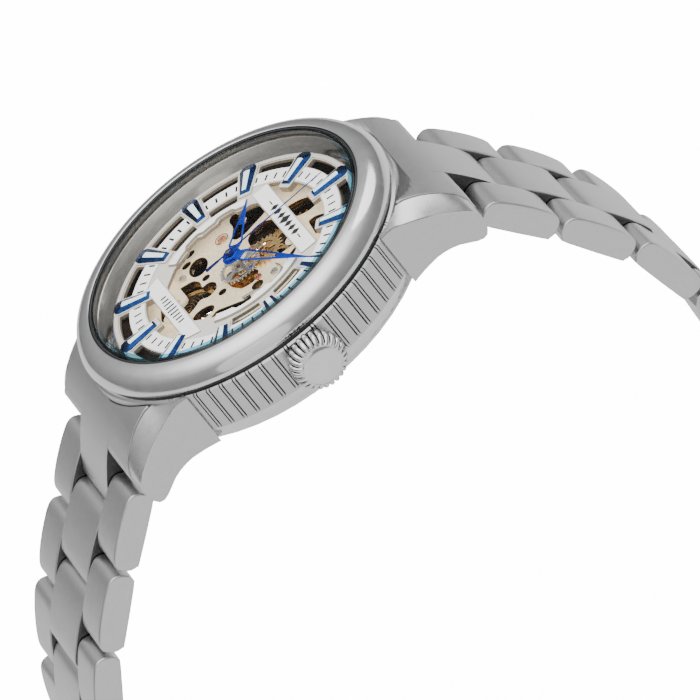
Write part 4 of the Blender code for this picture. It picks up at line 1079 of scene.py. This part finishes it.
def build_wheels():
    back = heading(MOTION, MIDDLE)
    hole = circle(0.32, 16, MOTION)
    rim = gear_outline(24, 2.0 * distance(MIDDLE, MOTION) / 32, MOTION, back)
    wheel = [rim, hole, *spoke_openings(0.75, 1.75, 4, MOTION, 16.0)]
    module = 2.0 * distance(MIDDLE, MOTION) / 40
    leaves = gear_outline(8, module, MOTION, back, True)
    extras = [([leaves, hole], -1.5, -1.05)]
    add_wheel("minute_wheel", wheel, -1.72, -1.48, GOLD, "motion_wheel", extras)
    rim = gear_outline(32, module, MIDDLE, heading(MIDDLE, MOTION))
    wheel = [rim, circle(0.54, 32), *spoke_openings(1.15, 2.3, 4, MIDDLE, 14.0, 20.0)]
    extras = [(ring(0.54, 0.8, 32), -1.2, 0.68)]
    add_wheel("hour_wheel", wheel, -1.35, -1.1, WORKS, "hours", extras)
    module = 2.0 * distance(MIDDLE, BARREL) / 49
    rim = gear_outline(42, module, BARREL, heading(BARREL, MIDDLE))
    wheel = [rim, circle(0.8, 24, BARREL), *spoke_openings(1.7, 4.6, 5, BARREL, 9.0)]
    extras = [(ring(5.2, 5.6, 72, BARREL), -4.35, -3.25)]
    add_wheel("barrel_drum", wheel, -3.3, -2.9, GOLD, "barrel", extras)
    back = heading(THIRD, MIDDLE)
    rim = gear_outline(45, 2.0 * distance(MIDDLE, THIRD) / 51, THIRD, back)
    wheel = [rim, *spoke_openings(1.0, 2.95, 4, THIRD, 10.0)]
    pinion = gear_outline(6, 2.0 * distance(MIDDLE, THIRD) / 54, THIRD, back, True)
    arbor = [circle(0.18, 14, THIRD)]
    extras = [([pinion], -5.55, -4.95), (arbor, -7.1, -5.75), (arbor, -5.0, -2.0)]
    add_wheel("third_wheel", wheel, -5.8, -5.5, GOLD, "third", extras)


def build_balance():
    staff = [circle(0.18, 14, BALANCE)]
    rim = [circle(4.3, 96, BALANCE), *spoke_openings(0.95, 3.7, 3, BALANCE, 4.5, 30.0)]
    plates = [(rim, -4.05, -3.65, 0.08, 2)]
    for step in range(12):
        weight = circle(0.16, 10, polar(4.0, 15.0 + 30.0 * step, BALANCE))
        plates.append(([weight], -4.12, -3.58, 0.03))
    plates += [
        ([circle(0.45, 24, BALANCE)], -3.7, -3.32, 0.05), (staff, -7.1, -4.0, 0.02),
        (staff, -3.35, -1.25, 0.02), ([circle(0.85, 28, BALANCE)], -5.35, -5.1, 0.04),
    ]
    slab_piece("gilt_balance_wheel", plates, [GOLD], "balance", ["balance_wheel"])


def build_movement_details():
    add_jewel("upper_left", (-8.5, 0.4), -1.72, 0.5)
    add_jewel("third", (3.9, 0.9), -1.72, 0.36, False)
    add_jewel("centre_left", (-2.3, 2.4), -1.72, 0.4, False)
    add_jewel("lower", (5.2, -6.0), -1.72, 0.38, False)
    screws = (((5.3, 2.8), 40.0), ((-7.1, -6.3), 75.0), ((-8.7, 3.9), 10.0), ((8.5, -4.6), 120.0))
    for index, (at, turn) in enumerate(screws):
        add_screw("plate_screw_" + str(index + 1), at, -1.55, 0.55, turn)
    lever = curve_through([(4.6, 3.6), (6.0, 3.9), (7.3, 2.7), (7.2, 0.9), (6.3, -0.6), (5.9, -2.2)], 6)
    inner = [(x - 0.45, y - 0.1) for x, y in reversed(lever)]
    plates = [([rounded(lever + inner, 0.2, 2)], -1.78, -1.5, 0.06, 2)]
    slab_piece("setting_lever", plates, [WORKS])
    slab_piece("copper_coil", [([sector(1.55, 2.6, 195.0, 245.0, 10)], -4.9, -3.2, 0.1, 2)], [COPPER])
    at = (-1.2, -10.3)
    cover = [circle(1.1, 40, at), circle(0.5, 24, at)]
    slab_piece("lower_setting", [(cover, -1.79, -1.3, 0.08, 2)], [CHAMPAGNE])


# Bracelet


def link_pose(node, pivot, side):
    """A link's frame: its origin on its hinge, u towards the next one and v outwards."""
    points = [vert.co for vert in frame["nodes"][node].data.vertices]
    middle = sum(points, Vector()) / len(points)
    y, z = middle.y - pivot[1], middle.z - pivot[2]
    length = math.hypot(y, z)
    along = Vector((0.0, y / length, z / length))
    outward = Vector((0.0, -along.z, along.y)) * side
    turn = Matrix.Identity(4)
    turn.col[0] = (*along.cross(outward), 0.0)
    turn.col[1] = (*along, 0.0)
    turn.col[2] = (*outward, 0.0)
    return Matrix.Translation((0.0, pivot[1], pivot[2])) @ turn @ Matrix.Scale(MM, 4)


def outer_row():
    top = [
        (-1.45, 0.35), (-1.05, 1.25), (-0.1, 1.75), (1.8, 1.96), (3.9, 2.02), (6.0, 1.94), (7.7, 1.68),
        (8.6, 1.15), (8.9, 0.3),
    ]
    under = [(8.75, -0.75), (8.2, -1.5), (7.4, -1.68), (0.2, -1.68), (-0.8, -1.45), (-1.4, -0.7)]
    return curve_through(top, 4) + curve_through(under, 2)


def centre_row():
    tongue = [(LINK_PITCH + x, y) for x, y in arc(3.52, -24.0, 20.0, 6)]
    head = curve_through(
        [(13.6, 1.62), (12.2, 1.86), (9.4, 2.0), (7.0, 1.94), (5.2, 1.7), (4.25, 1.2), (3.85, 0.45)], 3,
    )
    return tongue + head + arc(3.78, -2.0, -25.0, 4)


def darken_flanks(shape, inner=0.0, outer=CENTRE_WIDTH / 2.0 + 0.5):
    """Gives the upright faces between two rows painted shade, as the gap between them would be dark."""
    bmesh.ops.recalc_face_normals(shape, faces=shape.faces)
    for face in shape.faces:
        reach = abs(face.calc_center_median().x)
        if abs(face.normal.x) > 0.9 and inner < reach < outer:
            face.material_index = 1


def build_links():
    inner = CENTRE_WIDTH / 2.0 + ROW_GROOVE
    half = LINK_WIDTH / 2.0
    for label, side, count in (("upper", 1.0, 6), ("lower", -1.0, 5)):
        for number in range(1, count + 1):
            body = label + "_" + str(number)
            name = "link_" + body
            node = "bracelet_" + label + "_link_" + str(number)
            pivot = JOINTS[label + "_hinge_" + str(number)]["pos_m"]
            pose = link_pose(node, pivot, side)
            shape = bmesh.new()
            slab(shape, [outer_row()], inner, half, 0.26, 3)
            slab(shape, [outer_row()], -half, -inner, 0.26, 3)
            slab(shape, [centre_row()], -CENTRE_WIDTH / 2.0, CENTRE_WIDTH / 2.0, 0.2, 3)
            across(shape)
            # Upright faces between the rows take painted shade.
            darken_flanks(shape, CENTRE_WIDTH / 2.0 + 0.05 if number == count else 0.0)
            add_local(name, shape, [BRUSHED, SHADE_STEEL], pose, body, [node])
            # A web between the rows in painted shade, filling the gaps seen between links.
            shape = bmesh.new()
            slab(
                shape, [[(4.4, -1.1), (8.0, -1.1), (8.0, 1.1), (4.4, 1.1)]], -inner - 0.6, inner + 0.6,
                0.05,
            )
            across(shape)
            add_local(name + "_web", shape, [SHADE_STEEL], pose, body)


def add_local(name, shape, finishes, pose, body, stands_for=()):
    """A piece that keeps its own frame, so that its grain runs along it."""
    bmesh.ops.transform(shape, matrix=Matrix.Scale(MM, 4), verts=shape.verts)
    add_piece(name, shape, finishes, body, stands_for, pose=pose)


def hood_outline():
    top = curve_through([(18.6, -1.0), (20.2, -1.35), (22.4, -2.5), (24.35, -4.13), (26.2, -6.1)], 4)
    return top + [(26.4, -6.5), (26.4, -8.6), (25.2, -10.3), (23.2, -10.2), (19.2, -8.1), (18.6, -8.1)]


def tongue_outline():
    """The centre row's first block, which carries on from the hood round the first hinge."""
    top = curve_through([(22.4, -2.5), (24.35, -4.12), (26.9, -6.9), (29.3, -10.3), (30.4, -12.4)], 5)
    return top + [(30.55, -13.4), (29.9, -14.3), (28.6, -14.1), (26.2, -12.4), (25.0, -10.6), (22.8, -9.6)]


def cut_by_case(piece):
    """Trims the inner end of a piece to the case's round flank."""
    shape = bmesh.new()
    slab(shape, [circle(22.62, 160)], -14.0, 4.0, 0.01)
    to_world(shape)
    cutter = mesh_object("case_cutter", shape)
    trim = piece.modifiers.new("trim", "BOOLEAN")
    trim.operation = "DIFFERENCE"
    trim.object = cutter
    graph = bpy.context.evaluated_depsgraph_get()
    trimmed = bpy.data.meshes.new_from_object(piece.evaluated_get(graph))
    piece.modifiers.clear()
    piece.data = trimmed
    shade_evenly(piece, SHARP)
    bpy.data.objects.remove(cutter, do_unlink=True)


def build_end_links():
    half = LINK_WIDTH / 2.0
    inner = CENTRE_WIDTH / 2.0
    for label, side in (("upper", 1.0), ("lower", -1.0)):
        hood = [(side * y, z) for y, z in hood_outline()]
        tongue = [(side * y, z) for y, z in tongue_outline()]
        shape = bmesh.new()
        slab(shape, [hood], -half, half, 0.1, 2)
        across(shape)
        piece = dial_piece("end_link_hood_" + label, shape, [BRUSHED])
        cut_by_case(piece)
        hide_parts("end_link_" + label)
        shape = bmesh.new()
        slab(shape, [tongue], -inner, inner, 0.1, 2)
        across(shape)
        # The tongue's upright sides take painted shade.
        darken_flanks(shape)
        dial_piece("end_link_tongue_" + label, shape, [BRUSHED, SHADE_STEEL])


# CAD nodes that stay


KEPT = {
    "polished_steel": POLISHED,
    "brushed_steel": BRUSHED,
    "wheel_gold": GOLD,
    "works_steel": WORKS,
    "spring_steel": SPRING,
    "plate_champagne": CHAMPAGNE,
    "crystal_glass": BACK_GLASS,
    "hand_blue": BLUE,
    "dial_cream": CREAM,
    "black_gasket": RUBBER,
    "rehaut_steel": REHAUT,
}
# Deep parts take painted shade in place of their own steel.
DEEP = {"movement_ring": "dark", "train_bridge": "dark"}
SOFT_EDGED = {
    "clasp_cover": 0.22,
    "clasp_outer_blade": 0.12,
    "clasp_inner_blade": 0.12,
    "case_back": 0.2,
    "train_bridge": 0.1,
    "balance_cock": 0.08,
    "movement_ring": 0.1,
}


def dress_cad_nodes():
    slots = {part["node"]: part["material_slot"] for part in frame["record"]["subparts"]}
    for name, node in frame["nodes"].items():
        if node.hide_render:
            continue
        node.data.materials.clear()
        # Deep parts get painted shade; the others keep their finishes.
        node.data.materials.append(WORKS_SHADE if name in DEEP else KEPT[slots[name]])
        width = SOFT_EDGED.get(name)
        if not width:
            continue
        weld = node.modifiers.new("weld", "WELD")
        weld.merge_threshold = 1e-6
        flat = node.modifiers.new("flat_faces", "DECIMATE")
        flat.decimate_type = "DISSOLVE"
        flat.angle_limit = math.radians(1.0)
        edge = node.modifiers.new("soft_edge", "BEVEL")
        edge.width = width * MM
        edge.segments = 2
        edge.limit_method = "ANGLE"
        edge.angle_limit = math.radians(40.0)
        even = node.modifiers.new("even_shading", "WEIGHTED_NORMAL")
        even.keep_sharp = False


# Stage


def floor_finish():
    """A matt pale floor, as light to the eye as the backdrop of a product picture."""
    made, tree, shader = new_finish("pale_floor")
    clouds = grain(tree, 0.004, 2.0)
    color = blend_colors(tree, clouds, 0.78, 0.80)
    tree.links.new(color, shader.inputs["Base Color"])
    set_inputs(shader, Roughness=0.9, Specular_IOR_Level=0.1)
    sight = add_node(tree, "ShaderNodeLightPath")
    glow = add_node(tree, "ShaderNodeMath", operation="MULTIPLY")
    glow.inputs[1].default_value = FLOOR_GLOW
    join(tree, sight, "Is Camera Ray", glow, 0)
    shader.inputs["Emission Color"].default_value = (1.0, 1.0, 1.0, 1.0)
    join(tree, glow, "Value", shader, "Emission Strength")
    return made


def build_stage():
    shape = bmesh.new()
    bmesh.ops.create_grid(shape, x_segments=1, y_segments=1, size=FLOOR_HALF)
    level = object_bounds()[0].z - FLOOR_GAP
    floor = mesh_object("floor", shape)
    floor.location = (0.0, 0.0, level)
    floor.data.materials.append(floor_finish())


def add_light(name, at, size, power):
    light = bpy.data.lights.new(name, "AREA")
    light.shape = "ELLIPSE"
    light.size, light.size_y = size
    light.energy = power
    lamp = bpy.data.objects.new(name, light)
    lamp.location = at
    lamp.rotation_euler = (-Vector(at)).to_track_quat("-Z", "Y").to_euler()
    bpy.context.scene.collection.objects.link(lamp)


def build_world():
    """A studio that lights metal from overhead, and looks as pale as the floor to the eye."""
    world = bpy.data.worlds.new("studio")
    bpy.context.scene.world = world
    world.use_nodes = True
    tree = world.node_tree
    background = tree.nodes["Background"]
    place = add_node(tree, "ShaderNodeTexCoord")
    split = add_node(tree, "ShaderNodeSeparateXYZ")
    ramp = add_node(tree, "ShaderNodeValToRGB")
    points = ramp.color_ramp.elements
    while len(points) < len(SKY):
        points.new(0.5)
    for point, (position, value) in zip(points, SKY):
        point.position = position
        point.color = (value, value, value * 1.01, 1.0)
    join(tree, place, "Generated", split, "Vector")
    join(tree, split, "Z", ramp, "Fac")
    join(tree, ramp, "Color", background, "Color")
    background.inputs["Strength"].default_value = SKY_STRENGTH
    backdrop = add_node(tree, "ShaderNodeBackground")
    set_inputs(backdrop, Color=(1.0, 1.0, 1.0, 1.0), Strength=FLOOR_GLOW)
    sight = add_node(tree, "ShaderNodeLightPath")
    chosen = add_node(tree, "ShaderNodeMixShader")
    join(tree, sight, "Is Camera Ray", chosen, "Fac")
    join(tree, background, "Background", chosen, 1)
    join(tree, backdrop, "Background", chosen, 2)
    tree.links.new(chosen.outputs["Shader"], tree.nodes["World Output"].inputs["Surface"])


def build_lights():
    for name, at, size, power in LIGHTS:
        add_light(name, at, size, power)


def build_camera():
    camera = bpy.data.cameras.new("camera")
    camera.lens = CAMERA_LENS
    camera.sensor_width = 36.0
    camera.clip_start = 0.01
    camera.clip_end = 20.0
    view = bpy.data.objects.new("camera", camera)
    right, up = Vector(CAMERA_RIGHT), Vector(CAMERA_UP)
    pose = Matrix.Identity(4)
    pose.col[0] = (*right, 0.0)
    pose.col[1] = (*up, 0.0)
    pose.col[2] = (*right.cross(up), 0.0)
    pose.col[3] = (*(Vector(CAMERA_AT) * MM + Vector((0.0, 0.0, DIAL_TOP))), 1.0)
    view.matrix_world = pose
    bpy.context.scene.collection.objects.link(view)
    bpy.context.scene.camera = view


build_bezel()
build_case_band()
build_lugs()
build_crystal()
build_rehaut()
build_crown()
build_dial()
build_under_dial()
build_ticks()
build_ornaments()
build_markers()
build_hands()
build_plate()
build_wheels()
build_balance()
build_movement_details()
build_links()
build_end_links()
dress_cad_nodes()
build_world()
build_lights()
build_stage()
build_camera()
